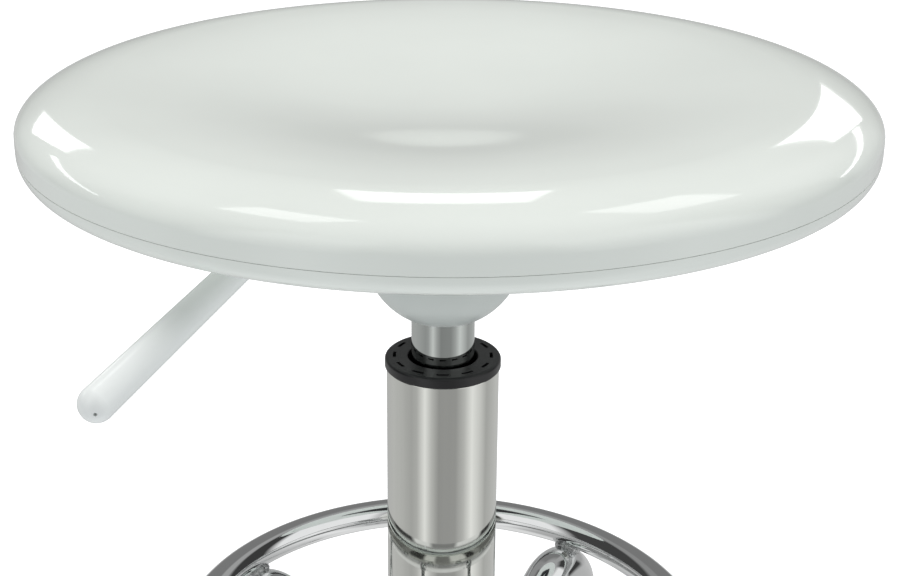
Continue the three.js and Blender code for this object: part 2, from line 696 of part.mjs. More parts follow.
function addSeatPlate() {
  const outline = plate(plateShape(), PLATE_BOTTOM, PLATE_BOTTOM + PLATE_THICKNESS, SMALL_FACETS / 2);
  const insertBore = SCREW_RADIUS + GAP;
  const insertBottom = BOSS_BOTTOM + GAP;
  const insertTop = insertBottom + INSERT_LENGTH;
  const insert = ring(insertBore, insertBore + INSERT_WALL, insertBottom, insertTop, SMALL_FACETS);
  const screw = screwGeometry();
  const turn = radians(LEVER_AZIMUTH);
  piece(seat, 'seat_plate', 'painted_steel', outline);
  piece(seat, 'taper_socket', 'painted_steel', socketGeometry()).rotation.z = turn;
  piece(seat, 'hub_cover', 'cover_plastic', coverGeometry()).rotation.z = turn;
  screwPlaces().forEach(([x, y], i) => {
    piece(seat, `seat_screw_${i + 1}`, 'steel', screw).position.set(x, y, 0);
    piece(seat, `threaded_insert_${i + 1}`, 'brass', insert).position.set(x, y, 0);
  });
}

// ---------- Seat shell and pan ----------

// Height of the dish at a radius inside the rim's crest.
function seatHeight(radius) {
  const dishRadius = SEAT_RADIUS - RIM_WIDTH;
  return CREST_HEIGHT - (DISH_DEPTH / 2) * (1 + Math.cos((Math.PI * radius) / dishRadius));
}

// Points of the upper face from the rim in to the axis, lowered by a wall thickness.
function dishPoints(steps, lowered) {
  const dishRadius = SEAT_RADIUS - RIM_WIDTH;
  return Array.from({ length: steps + 1 }, (_, i) => {
    const radius = (dishRadius * (steps - i)) / steps;
    return [radius, seatHeight(radius) - lowered];
  });
}

// Points of the rounded rim from its shoulder up to the crest, moved in by a wall thickness.
function rimPoints(steps, inset) {
  return arc(0, 0, 1, 0, 90, steps).map(([across, up]) => [
    SEAT_RADIUS - RIM_WIDTH + (RIM_WIDTH - inset) * across,
    RIM_SHOULDER + (RIM_DROP - inset) * up,
  ]);
}

function shellGeometry() {
  const body = turned([
    ...dishPoints(5, SEAT_WALL).reverse(),
    ...rimPoints(5, SEAT_WALL).reverse().slice(1),
    [SEAT_RADIUS - SEAT_WALL, SEAM_HEIGHT],
    [SEAT_RADIUS, SEAM_HEIGHT],
    ...rimPoints(8, 0),
    ...dishPoints(7, 0).slice(1),
  ], SEAT_FACETS);
  const bossCentre = Math.hypot(SCREW_SPACING, SCREW_SPACING) / 2;
  const bossTop = seatHeight(bossCentre) - SEAT_WALL / 2;
  const boss = bar(BOSS_DIAMETER / 2, BOSS_BOTTOM, bossTop, SMALL_FACETS);
  const pocketRadius = SCREW_RADIUS + INSERT_WALL + 2 * GAP;
  const pocketTop = BOSS_BOTTOM + INSERT_LENGTH + 2 * GAP;
  const pocket = bar(pocketRadius, BOSS_BOTTOM - OVERCUT, pocketTop, SMALL_FACETS);
  const at = (geometry) => screwPlaces().map(([x, y]) => geometry.clone().translate(x, y, 0));
  return cut(joined(body, ...at(boss)), ...at(pocket));
}

function panGeometry() {
  const edge = SEAM_HEIGHT - GAP;
  const fillet = edge - PAN_BOTTOM;
  const lipOuter = SEAT_RADIUS - SEAT_WALL - GAP;
  const lipInner = lipOuter - PAN_LIP_WALL;
  const lipTop = RIM_SHOULDER;
  const recess = SEAT_RADIUS - PAN_LEDGE;
  const body = turned([
    [0, PAN_FLOOR],
    [recess, PAN_FLOOR],
    [recess, PAN_BOTTOM],
    ...arc(SEAT_RADIUS - fillet, edge, fillet, -90, 0, 5),
    [lipOuter, edge],
    [lipOuter, lipTop],
    [lipInner, lipTop],
    [lipInner, PAN_BOTTOM + PAN_WALL],
    [recess + PAN_WALL, PAN_BOTTOM + PAN_WALL],
    [recess + PAN_WALL, PAN_FLOOR + PAN_WALL],
    [0, PAN_FLOOR + PAN_WALL],
  ], SEAT_FACETS);
  const holeTop = PAN_FLOOR + PAN_WALL + OVERCUT;
  const hole = bar(SCREW_RADIUS + GAP, PAN_FLOOR - OVERCUT, holeTop, SMALL_FACETS);
  return cut(body, ...screwPlaces().map(([x, y]) => hole.clone().translate(x, y, 0)));
}

function addSeat() {
  piece(seat, 'seat_shell', 'white_plastic', shellGeometry());
  piece(seat, 'seat_pan', 'white_plastic', panGeometry());
}

// ---------- Height lever, along +X in its own group ----------

const PIVOT_BORE = PIVOT_PIN_DIAMETER / 2 + GAP;

// A round bar across the lever, along Y, at the pivot.
function acrossPivot(radius, width, facets) {
  return bar(radius, -width / 2, width / 2, facets)
    .rotateX(Math.PI / 2)
    .translate(LEVER_PIVOT_RADIUS, 0, LEVER_HEIGHT);
}

// Point on the drooping part of the lever's centre line, at a distance past the corner of the bend.
function leverPoint(distance) {
  const droop = radians(LEVER_DROOP);
  return [LEVER_BEND_RADIUS + distance * Math.cos(droop), LEVER_HEIGHT - distance * Math.sin(droop)];
}

function leverRodGeometry() {
  const tangent = LEVER_BEND_ROUND * Math.tan(radians(LEVER_DROOP / 2));
  const bendCentre = [LEVER_BEND_RADIUS - tangent, LEVER_HEIGHT - LEVER_BEND_ROUND];
  const stations = [
    station([LEVER_INNER_END, LEVER_HEIGHT], 0),
    ...bendStations(bendCentre, LEVER_BEND_ROUND, 0, -LEVER_DROOP, 3),
    station(leverPoint(HANDLE_START + HANDLE_BORE_DEPTH - GAP), -LEVER_DROOP),
  ];
  const rod = tubeAlong(stations, LEVER_RADIUS, 0, SMALL_FACETS);
  const eye = acrossPivot(EYE_DIAMETER / 2, EYE_WIDTH, SMALL_FACETS);
  return cut(joined(rod, eye), acrossPivot(PIVOT_BORE, EYE_WIDTH + 2 * OVERCUT, SMALL_FACETS));
}

function handleGeometry() {
  const bore = LEVER_RADIUS + GAP;
  const rootRadius = HANDLE_ROOT_DIAMETER / 2;
  const endRadius = HANDLE_END_DIAMETER / 2;
  const [x, z] = leverPoint(HANDLE_START);
  return turned([
    [0, HANDLE_BORE_DEPTH],
    [bore, HANDLE_BORE_DEPTH],
    [bore, 0],
    ...arc(rootRadius - HANDLE_ROOT_ROUND, HANDLE_ROOT_ROUND, HANDLE_ROOT_ROUND, -90, 0, 2),
    ...arc(0, HANDLE_LENGTH - endRadius, endRadius, 0, 90, 5),
  ], TUBE_FACETS).rotateY(radians(90 + LEVER_DROOP)).translate(x, 0, z);
}

// A channel that hangs from the plate, with an ear on each side of the lever's eye.
function bracketGeometry() {
  const top = PLATE_BOTTOM - GAP;
  const bottom = LEVER_HEIGHT - EYE_DIAMETER / 2;
  const height = top - bottom;
  const inner = EYE_WIDTH / 2 + GAP;
  const outer = inner + BRACKET_THICKNESS;
  const channel = (length, halfWidth, channelTop) =>
    block(length, 2 * halfWidth, height, LEVER_PIVOT_RADIUS, 0, channelTop - height / 2);
  const outside = channel(BRACKET_LENGTH, outer, top);
  const inside = channel(BRACKET_LENGTH + 2 * OVERCUT, inner, top - BRACKET_THICKNESS);
  return cut(outside, inside, acrossPivot(PIVOT_BORE, 2 * (outer + OVERCUT), SMALL_FACETS));
}

function pinGeometry() {
  const reach = EYE_WIDTH / 2 + BRACKET_THICKNESS + 2 * GAP;
  const width = 2 * (reach + PIVOT_PIN_HEAD);
  const heads = [-1, 1].map((side) =>
    acrossPivot(PIVOT_PIN_HEAD_DIAMETER / 2, PIVOT_PIN_HEAD, SMALL_FACETS)
      .translate(0, side * (reach + PIVOT_PIN_HEAD / 2), 0),
  );
  return joined(acrossPivot(PIVOT_PIN_DIAMETER / 2, width, SMALL_FACETS), ...heads);
}

function addLever() {
  piece(lever, 'lever_bracket', 'painted_steel', bracketGeometry());
  piece(lever, 'pivot_pin', 'steel', pinGeometry());
  piece(lever, 'lever_rod', 'steel', leverRodGeometry());
  piece(lever, 'lever_handle', 'white_plastic', handleGeometry());
}

addColumn();
addFootRing();
addLegs();
addBearing();
addPistonRod();
addGasCylinder();
addSeatPlate();
addSeat();
addLever();

export default stool;
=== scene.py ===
"""Adjustable swivel stool: looks, floor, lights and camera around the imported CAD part."""

import math

import bmesh
import bpy
from bpy.props import FloatProperty, FloatVectorProperty, IntProperty, PointerProperty
from mathutils import Matrix, Vector, noise


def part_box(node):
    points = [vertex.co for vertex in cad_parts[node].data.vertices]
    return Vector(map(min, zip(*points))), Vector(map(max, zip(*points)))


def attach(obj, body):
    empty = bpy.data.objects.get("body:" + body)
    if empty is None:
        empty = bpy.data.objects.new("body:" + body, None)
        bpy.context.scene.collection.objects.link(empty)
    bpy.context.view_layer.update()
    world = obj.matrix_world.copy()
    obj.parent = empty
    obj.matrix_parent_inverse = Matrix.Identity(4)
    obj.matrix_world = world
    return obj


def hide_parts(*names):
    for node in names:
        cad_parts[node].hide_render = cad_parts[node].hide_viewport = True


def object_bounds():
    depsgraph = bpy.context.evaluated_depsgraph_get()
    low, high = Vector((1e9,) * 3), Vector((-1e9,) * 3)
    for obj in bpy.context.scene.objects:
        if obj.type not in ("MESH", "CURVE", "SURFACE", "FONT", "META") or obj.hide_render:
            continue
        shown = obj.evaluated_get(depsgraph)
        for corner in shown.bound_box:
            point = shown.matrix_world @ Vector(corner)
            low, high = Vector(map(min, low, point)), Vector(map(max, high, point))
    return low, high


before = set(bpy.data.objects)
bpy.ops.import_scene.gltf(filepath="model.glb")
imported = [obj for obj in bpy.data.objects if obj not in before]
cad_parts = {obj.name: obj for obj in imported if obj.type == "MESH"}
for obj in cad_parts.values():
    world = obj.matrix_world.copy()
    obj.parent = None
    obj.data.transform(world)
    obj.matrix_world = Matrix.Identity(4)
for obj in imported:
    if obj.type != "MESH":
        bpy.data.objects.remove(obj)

bl_info = {
    "name": "Adjustable Swivel Stool",
    "version": (1, 0, 0),
    "blender": (4, 5, 0),
    "location": "3D View > Sidebar > Stool",
    "description": "Builds the visible pieces and finishes of a gas-lift swivel stool",
    "category": "Object",
}

CAD_LOW, CAD_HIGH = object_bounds()
MM = 0.001
TURN = 2 * math.pi
GAP = 0.3 * MM
SHARP_DEGREES = 32


# ---------- Sizes and colours that a user would change ----------


def length(name, millimetres, description):
    """A length property whose default is given in millimetres."""
    return FloatProperty(
        name=name, description=description, default=millimetres * MM, min=0, unit="LENGTH", precision=4
    )


def turn_angle(name, degrees, description):
    return FloatProperty(name=name, description=description, default=math.radians(degrees), subtype="ANGLE")


def amount(name, value, description):
    return FloatProperty(name=name, description=description, default=value, min=0)


def colour(name, value, description):
    return FloatVectorProperty(
        name=name, description=description, default=value, size=3, min=0, max=1, subtype="COLOR"
    )


class StoolSizes(bpy.types.PropertyGroup):
    """Roundings, walls and bends that the frame's boxes don't give."""

    facets: IntProperty(name="Facets", description="Facets round a large turned piece", default=192, min=24)
    edge_round: length("Edge round", 0.5, "Rounding of a cut metal edge")
    seat_wall: length("Seat wall", 3.5, "Thickness of the moulded seat top")
    rim_width: length("Rim width", 34, "Distance from the rim's crest out to the seat's side")
    rim_drop: length("Rim drop", 14, "Height of the crest above the rim's shoulder")
    dish_depth: length("Dish depth", 13.2, "Depth of the dish below the rim")
    seam: length("Seam", 0.05, "Visible gap between the seat top and the pan")
    pan_wall: length("Pan wall", 3, "Thickness of the lower half of the seat")
    pan_ledge: length("Pan ledge", 20, "Width of the pan's outer ledge")
    pan_recess: length("Pan recess", 2.8, "Height of the pan's floor above its ledge")
    boss_width: length("Boss", 14, "Diameter of the screw bosses under the seat top")
    screw_spacing: length("Screw spacing", 116, "Distance between neighbouring seat screws")
    screw_shank: length("Screw shank", 6, "Diameter of the seat screws")
    screw_key: length("Screw key", 4, "Hex key size of the seat screws")
    cover_radius: length("Cover ball", 35, "Radius of the hub cover's ball")
    cover_wall: length("Cover wall", 2.5, "Thickness of the hub cover")
    cover_bore: length("Cover bore", 30, "Diameter of the hole that the cylinder passes through")
    lift_bore: length("Lift bore", 24, "Inner diameter of the gas cylinder")
    taper_drop: length("Taper drop", 0.75, "How much the cylinder's radius drops along its taper")
    column_wall: length("Column wall", 1.5, "Wall of the column tube")
    collar_bore: length("Collar bore", 31, "Diameter of the collar's hole")
    leg_radius: length("Leg radius", 12, "Outer radius of a leg tube")
    leg_wall: length("Leg wall", 1.5, "Wall of a leg tube")
    leg_bend: length("Leg bend", 17, "Radius of the leg's bend, at its centre line")
    ring_bar: length("Ring bar", 15, "Diameter of the foot ring's bar")
    handle_tip: length("Handle end", 13.5, "Diameter of the lever handle at its end")
    lever_rod: length("Lever rod", 6, "Diameter of the lever's rod")
    leg_azimuth: turn_angle("First leg", 55, "Direction of the first leg")
    lever_azimuth: turn_angle("Lever", -125, "Direction of the height lever")
    lever_droop: turn_angle("Lever droop", 19.5, "Slope of the lever's outer part")
    ring_contact: turn_angle("Ring contact", 67, "Where the ring rests on each leg's bend")


class StoolColours(bpy.types.PropertyGroup):
    """Base colours of the finishes."""

    seat_white: colour("Seat", (0.78, 0.81, 0.76), "Glossy moulded seat")
    handle_white: colour("Handle", (0.84, 0.86, 0.84), "Lever handle")
    cover_white: colour("Hub cover", (0.58, 0.61, 0.58), "Hub cover")
    black: colour("Black plastic", (0.012, 0.012, 0.013), "Collar, foot caps and inner guides")
    rubber: colour("Rubber", (0.018, 0.018, 0.019), "Pads, seals and buffer")
    chrome: colour("Chrome", (0.80, 0.81, 0.81), "Polished chrome")
    column_chrome: colour("Column chrome", (0.75, 0.76, 0.72), "Chrome of the column tube")
    steel: colour("Plain steel", (0.42, 0.43, 0.44), "Zinc-plated and ground steel")
    paint: colour("Painted steel", (0.022, 0.023, 0.025), "Powder coat of the plate and socket")
    brass: colour("Brass", (0.55, 0.38, 0.14), "Inserts and valve block")
    weld: colour("Weld", (0.52, 0.53, 0.53), "Plated weld beads")
    rod: colour("Cylinder", (0.54, 0.57, 0.55), "Gas cylinder")


class StoolStage(bpy.types.PropertyGroup):
    """Floor, lights and camera."""

    floor_size: length("Floor", 9000, "Side of the floor sheet")
    floor_colour: colour("Floor colour", (0.86, 0.86, 0.86), "Pale paper")
    floor_glow: amount("Floor glow", 0.6, "Light that the floor sheet adds away from the stool")
    ambient: amount("Ambient", 0.42, "Soft light from above and around")
    floor_bounce: amount("Floor bounce", 1.0, "Soft light from below")
    lens: FloatProperty(
        name="Lens", description="Focal length of the camera", default=67.2, subtype="DISTANCE_CAMERA"
    )
    camera_place: FloatVectorProperty(
        name="Camera",
        description="Place of the camera",
        default=(0, -0.682, 0.752),
        subtype="TRANSLATION",
        unit="LENGTH",
    )
    camera_yaw: turn_angle("Camera yaw", -2.73, "Turn of the camera away from straight ahead")
    camera_pitch: turn_angle("Camera pitch", 21.89, "How far the camera looks down")
    camera_roll: turn_angle("Camera roll", -0.61, "Tilt of the camera about its view")
    camera_shift: FloatProperty(name="Camera shift", description="Sideways shift of the lens", default=0.09)


# ---------- Building meshes ----------


def top_of(node):
    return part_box(node)[1].z


def bottom_of(node):
    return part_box(node)[0].z


def arc(centre_r, centre_z, radius, start, end, steps):
    """Points of an arc in a (radius, height) profile, between two angles in degrees."""
    angles = [math.radians(start + (end - start) * i / steps) for i in range(steps + 1)]
    return [(centre_r + radius * math.cos(a), centre_z + radius * math.sin(a)) for a in angles]


def rounded(corners, steps=4):
    """A profile whose (radius, height, rounding) corners are turned into small arcs."""
    points = []
    for i, (r, z, rounding) in enumerate(corners):
        here = Vector((r, z))
        back = (Vector(corners[i - 1][:2]) - here).normalized()
        ahead = (Vector(corners[(i + 1) % len(corners)][:2]) - here).normalized()
        half = back.angle(ahead) / 2
        if rounding <= 0 or half > math.radians(89):
            points.append((r, z))
            continue
        centre = here + (back + ahead).normalized() * rounding / math.sin(half)
        reach = rounding / math.tan(half)
        first, last = here + back * reach - centre, here + ahead * reach - centre
        sweep_angle = -first.angle_signed(last)
        start = math.atan2(first.y, first.x)
        for k in range(steps + 1):
            a = start + sweep_angle * k / steps
            points.append((centre.x + rounding * math.cos(a), centre.y + rounding * math.sin(a)))
    return points


def bridge(bm, low, high):
    """Faces between two closed rows of vertices. A row of one vertex is a pole."""
    count = max(len(low), len(high))
    for j in range(count):
        k = (j + 1) % count
        corners = [low[j % len(low)], low[k % len(low)], high[k % len(high)], high[j % len(high)]]
        corners = [v for i, v in enumerate(corners) if v not in corners[:i]]
        if len(corners) > 2:
            bm.faces.new(corners)


def turned_bmesh(profile, facets):
    """A closed (radius, height) profile turned about the vertical axis."""
    bm = bmesh.new()
    rows = []
    for r, z in profile:
        if r < 1e-7:
            rows.append([bm.verts.new((0, 0, z))])
        else:
            angles = [TURN * j / facets for j in range(facets)]
            rows.append([bm.verts.new((r * math.cos(a), r * math.sin(a), z)) for a in angles])
    for i, row in enumerate(rows):
        following = rows[(i + 1) % len(rows)]
        if len(row) > 1 or len(following) > 1:
            bridge(bm, row, following)
    return bm


def frames_along(points, reference, closed):
    """(point, side, up) at each point of a path, with side kept near a reference direction."""
    made = []
    count = len(points)
    for i, point in enumerate(points):
        ahead = points[(i + 1) % count] if closed or i < count - 1 else point
        behind = points[i - 1] if closed or i > 0 else point
        along = (ahead - behind).normalized()
        side = (reference - along * reference.dot(along)).normalized()
        made.append((point, side, along.cross(side)))
    return made


def swept_bmesh(points, radii, sides, reference, bore=0.0, closed=False):
    """A round bar or tube along a path. Its rows are returned too, so that the ends can be trimmed."""
    bm = bmesh.new()

    def rows_of(shrink):
        rows = []
        for (point, side, up), radius in zip(frames_along(points, reference, closed), radii):
            row = []
            for j in range(sides):
                a = TURN * j / sides
                out = side * math.cos(a) + up * math.sin(a)
                row.append(bm.verts.new(point + out * (radius - shrink)))
            rows.append(row)
        return rows

    outer = rows_of(0)
    for i in range(len(outer) if closed else len(outer) - 1):
        bridge(bm, outer[i], outer[(i + 1) % len(outer)])
    inner = []
    if bore:
        inner = rows_of(radii[0] - bore)
        for low, high in zip(inner, inner[1:]):
            bridge(bm, low, high)
        bridge(bm, outer[0], inner[0])
        bridge(bm, outer[-1], inner[-1])
    elif not closed:
        for row, centre in ((outer[0], points[0]), (outer[-1], points[-1])):
            bridge(bm, row, [bm.verts.new(centre)])
    return bm, outer, inner


def smooth(mesh, sharp_degrees):
    mesh.shade_smooth()
    mesh.set_sharp_from_angle(angle=math.radians(sharp_degrees))


def new_object(name, bm, sharp_degrees=SHARP_DEGREES):
    """A mesh object from a bmesh, smooth but for its sharp edges."""
    bmesh.ops.recalc_face_normals(bm, faces=bm.faces)
    mesh = bpy.data.meshes.new(name)
    bm.to_mesh(mesh)
    bm.free()
    smooth(mesh, sharp_degrees)
    made = bpy.data.objects.new(name, mesh)
    bpy.context.scene.collection.objects.link(made)
    return made


def turned(name, profile, facets):
    return new_object(name, turned_bmesh(profile, facets))


def combine(made, other, operation):
    """Adds to or cuts from a piece with another, which is then removed."""
    modifier = made.modifiers.new("Combine", "BOOLEAN")
    modifier.operation = operation
    modifier.solver = "EXACT"
    modifier.object = other
    bpy.context.view_layer.update()
    graph = bpy.context.evaluated_depsgraph_get()
    mesh = bpy.data.meshes.new_from_object(made.evaluated_get(graph))
    made.modifiers.clear()
    made.data = mesh
    smooth(mesh, SHARP_DEGREES)
    bpy.data.objects.remove(other)
    if not mesh.polygons:
        raise RuntimeError(f"{made.name}: nothing is left after {operation}")
    return made


def cuboid(name, low, high, turn=0.0):
    """A block between two corners, turned about the vertical axis. It is only used to cut."""
    bm = bmesh.new()
    (x1, y1, z1), (x2, y2, z2) = low, high
    corners = [bm.verts.new((x, y, z)) for z in (z1, z2) for y in (y1, y2) for x in (x1, x2)]
    for quad in ((0, 1, 3, 2), (4, 6, 7, 5), (0, 4, 5, 1), (2, 3, 7, 6), (0, 2, 6, 4), (1, 5, 7, 3)):
        bm.faces.new([corners[i] for i in quad])
    bm.transform(Matrix.Rotation(turn, 4, "Z"))
    return new_object(name, bm)


def copies(name, bm_of, places):
    """One mesh object that holds a copy of a shape at each place matrix."""
    whole = bmesh.new()
    for place in places:
        part = bm_of()
        part.transform(place)
        mesh = bpy.data.meshes.new("Part")
        part.to_mesh(mesh)
        part.free()
        whole.from_mesh(mesh)
        bpy.data.meshes.remove(mesh)
    return new_object(name, whole)


def plug(radius, low, high):
    """Profile of a plain cylinder."""
    return [(0, low), (radius, low), (radius, high), (0, high)]


def combine_turned(made, profile, facets, places, operation):
    """Adds to or cuts from a piece with a turned shape at each place matrix."""
    combine(made, copies("turned", lambda: turned_bmesh(profile, facets), places), operation)


def around(azimuth):
    """Unit vector that points out at an azimuth."""
    return Vector((math.cos(azimuth), math.sin(azimuth), 0))


def in_plane(azimuth, r, z):
    """Point in the vertical plane at an azimuth."""
    return around(azimuth) * r + Vector((0, 0, z))


def at_heading(azimuth, heading):
    """Unit vector at a heading above the level, in the vertical plane at an azimuth."""
    return in_plane(azimuth, math.cos(heading), math.sin(heading))


def settle(made, body, slot, *nodes, look=None):
    """Gives a piece the finish named by its look or else its slot, weighted normals and its body, and hides
    the CAD nodes that it stands for.
    """
    made.data.materials.clear()
    made.data.materials.append(finish(look or slot))
    shading = made.modifiers.new("Weighted normals", "WEIGHTED_NORMAL")
    shading.keep_sharp = True
    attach(made, body)
    if nodes:
        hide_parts(*nodes)
    return made


# ---------- Finishes ----------


class Nodes:
    """Adds and links the nodes of one node tree."""

    def __init__(self, tree):
        self.tree = tree

    def add(self, kind, **settings):
        node = self.tree.nodes.new(kind)
        for key, value in settings.items():
            setattr(node, key, value)
        return node

    def link(self, source, target):
        self.tree.links.new(source, target)

    def spread(self, source, low, high, from_low=0.3, from_high=0.7):
        """Maps a pattern onto a range of values."""
        node = self.add("ShaderNodeMapRange")
        node.inputs["From Min"].default_value = from_low
        node.inputs["From Max"].default_value = from_high
        node.inputs["To Min"].default_value = low
        node.inputs["To Max"].default_value = high
        self.link(source, node.inputs["Value"])
        return node.outputs["Result"]

    def blend(self, factor, first, second):
        """Blends two colours, each a uniform one or the output of a node."""
        node = self.add("ShaderNodeMix", data_type="RGBA")
        for value, socket in ((first, node.inputs["A"]), (second, node.inputs["B"])):
            if isinstance(value, tuple):
                socket.default_value = (*value, 1)
            else:
                self.link(value, socket)
        self.link(factor, node.inputs["Factor"])
        return node.outputs["Result"]


class NodeSheet(Nodes):
    """The nodes of one new material."""

    def __init__(self, name):
        self.material = bpy.data.materials.new(name)
        self.material.use_nodes = True
        super().__init__(self.material.node_tree)
        self.shader = self.tree.nodes["Principled BSDF"]
        self.coordinates = self.add("ShaderNodeTexCoord").outputs["Object"]

    def set(self, **values):
        for key, value in values.items():
            self.shader.inputs[key.replace("_", " ")].default_value = value

    def noise(self, scale, detail, stretch=(1, 1, 1), roughness=0.5):
        """A noise pattern in the object's own space, stretched along its axes."""
        mapping = self.add("ShaderNodeMapping")
        mapping.inputs["Scale"].default_value = stretch
        self.link(self.coordinates, mapping.inputs["Vector"])
        node = self.add("ShaderNodeTexNoise")
        node.inputs["Scale"].default_value = scale
        node.inputs["Detail"].default_value = detail
        node.inputs["Roughness"].default_value = roughness
        self.link(mapping.outputs["Vector"], node.inputs["Vector"])
        return node.outputs["Fac"]

    def colour_by(self, pattern, first, second, from_low=0.3, from_high=0.7):
        """Blends the base colour between two colours by a pattern."""
        factor = self.spread(pattern, 0, 1, from_low, from_high)
        self.link(self.blend(factor, first, second), self.shader.inputs["Base Color"])

    def roughen_by(self, pattern, low, high):
        """Spreads the roughness over a range by a pattern."""
        self.link(self.spread(pattern, low, high), self.shader.inputs["Roughness"])

    def bump(self, source, height, before=None):
        """Raises the surface by a pattern, in metres, on top of an earlier bump."""
        node = self.add("ShaderNodeBump")
        node.inputs["Distance"].default_value = height
        node.inputs["Strength"].default_value = 1.0
        self.link(source, node.inputs["Height"])
        if before is not None:
            self.link(before, node.inputs["Normal"])
        self.link(node.outputs["Normal"], self.shader.inputs["Normal"])
        return node.outputs["Normal"]


def scaled(value, factor):
    return tuple(min(1.0, c * factor) for c in value)


def moulded_plastic(name, base, roughness, grain, texture, coat):
    """Injection-moulded plastic: faint flow clouds, slow waviness and a fine grain."""
    sheet = NodeSheet(name)
    sheet.colour_by(sheet.noise(9, 3), scaled(base, 0.975), scaled(base, 1.02))
    sheet.roughen_by(sheet.noise(38, 5, roughness=0.65), roughness * 0.85, roughness * 1.25)
    wave = sheet.bump(sheet.noise(22, 1), 0.00006)
    sheet.bump(sheet.noise(grain, 2), 0.000003 + texture, wave)
    sheet.set(IOR=1.5, Coat_Weight=coat, Coat_Roughness=0.04)
    return sheet.material


def plated(name, base):
    """Bright chrome plate: even colour, faint polishing haze and slow ripples of the tube under it."""
    sheet = NodeSheet(name)
    haze = sheet.noise(60, 6, roughness=0.7)
    sheet.colour_by(haze, scaled(base, 0.97), base)
    sheet.roughen_by(haze, 0.02, 0.06)
    slow = sheet.bump(sheet.noise(30, 1), 0.00001)
    sheet.bump(sheet.noise(900, 2), 0.0000004, slow)
    sheet.set(Metallic=1.0)
    return sheet.material


def column_plate(name, base):
    """Chrome over a drawn tube: reflections run in long vertical streaks."""
    sheet = NodeSheet(name)
    streaks = sheet.noise(220, 3, stretch=(1, 1, 0.03))
    sheet.colour_by(streaks, scaled(base, 0.95), base)
    sheet.roughen_by(sheet.noise(45, 5, roughness=0.7), 0.02, 0.045)
    slow = sheet.bump(sheet.noise(40, 1, stretch=(1, 1, 0.04)), 0.00001)
    sheet.bump(streaks, 0.0000006, slow)
    sheet.set(Metallic=1.0)
    return sheet.material


def worn_steel(name, base):
    """Plain steel: fine turning marks and mottled zinc."""
    sheet = NodeSheet(name)
    mottle = sheet.noise(120, 5, roughness=0.7)
    sheet.colour_by(mottle, scaled(base, 0.8), scaled(base, 1.15))
    sheet.roughen_by(mottle, 0.28, 0.46)
    sheet.bump(sheet.noise(1400, 2, stretch=(1, 1, 4)), 0.00001)
    sheet.set(Metallic=1.0)
    return sheet.material


def powder_coat(name, base):
    """Black powder coat with its fine orange peel."""
    sheet = NodeSheet(name)
    peel = sheet.noise(700, 2)
    sheet.colour_by(sheet.noise(30, 4), scaled(base, 0.85), scaled(base, 1.3))
    sheet.roughen_by(peel, 0.38, 0.58)
    sheet.bump(peel, 0.00006)
    return sheet.material


def rubbery(name, base):
    """Matt rubber with a dusty bloom."""
    sheet = NodeSheet(name)
    bloom = sheet.noise(80, 5, roughness=0.7)
    sheet.colour_by(bloom, base, scaled(base, 2.2), 0.45, 0.8)
    sheet.roughen_by(bloom, 0.7, 0.92)
    sheet.bump(sheet.noise(1600, 2), 0.00003)
    return sheet.material


def weld_metal(name, base):
    """Plated weld bead: uneven gloss and small pits."""
    sheet = NodeSheet(name)
    mottle = sheet.noise(300, 4, roughness=0.7)
    sheet.colour_by(mottle, scaled(base, 0.75), scaled(base, 1.2))
    sheet.roughen_by(mottle, 0.16, 0.4)
    sheet.bump(sheet.noise(700, 3), 0.00012)
    sheet.set(Metallic=1.0)
    return sheet.material


def finish(slot):
    """The material of a finish, made the first time that it is asked for."""
    name = f"{slot}_finish"
    known = bpy.data.materials.get(name)
    if known:
        return known
    colours = bpy.context.scene.stool_colours
    # maker and base colour, then for moulded plastic its roughness, grain, texture (m) and coat
    makers = {
        "seat_plastic": (moulded_plastic, colours.seat_white, 0.07, 1500, 0, 0.3),
        "handle_plastic": (moulded_plastic, colours.handle_white, 0.2, 1500, 0, 0.2),
        "cover_plastic": (moulded_plastic, colours.cover_white, 0.3, 1800, 0.00001, 0),
        "black_plastic": (moulded_plastic, colours.black, 0.36, 2200, 0.00002, 0),
        "rubber": (rubbery, colours.rubber),
        "polished_chrome": (plated, colours.chrome),
        "satin_chrome": (column_plate, colours.column_chrome),
        "plain_steel": (worn_steel, colours.steel),
        "painted_steel": (powder_coat, colours.paint),
        "brass": (worn_steel, colours.brass),
        "weld_bead": (weld_metal, colours.weld),
        "ground_rod": (column_plate, colours.rod),
    }
    maker, base, *settings = makers[slot]
    return maker(name, tuple(base), *settings)


# ---------- Shared places ----------


def screw_places():
    half = bpy.context.scene.stool_sizes.screw_spacing / 2
    return [Matrix.Translation((x * half, y * half, 0)) for x, y in ((1, 1), (-1, 1), (-1, -1), (1, -1))]


def lever_height(sizes):
    """Height of the lever's centre line, just above the valve button."""
    return top_of("valve_button") + GAP + sizes.lever_rod / 2


# ---------- Seat ----------


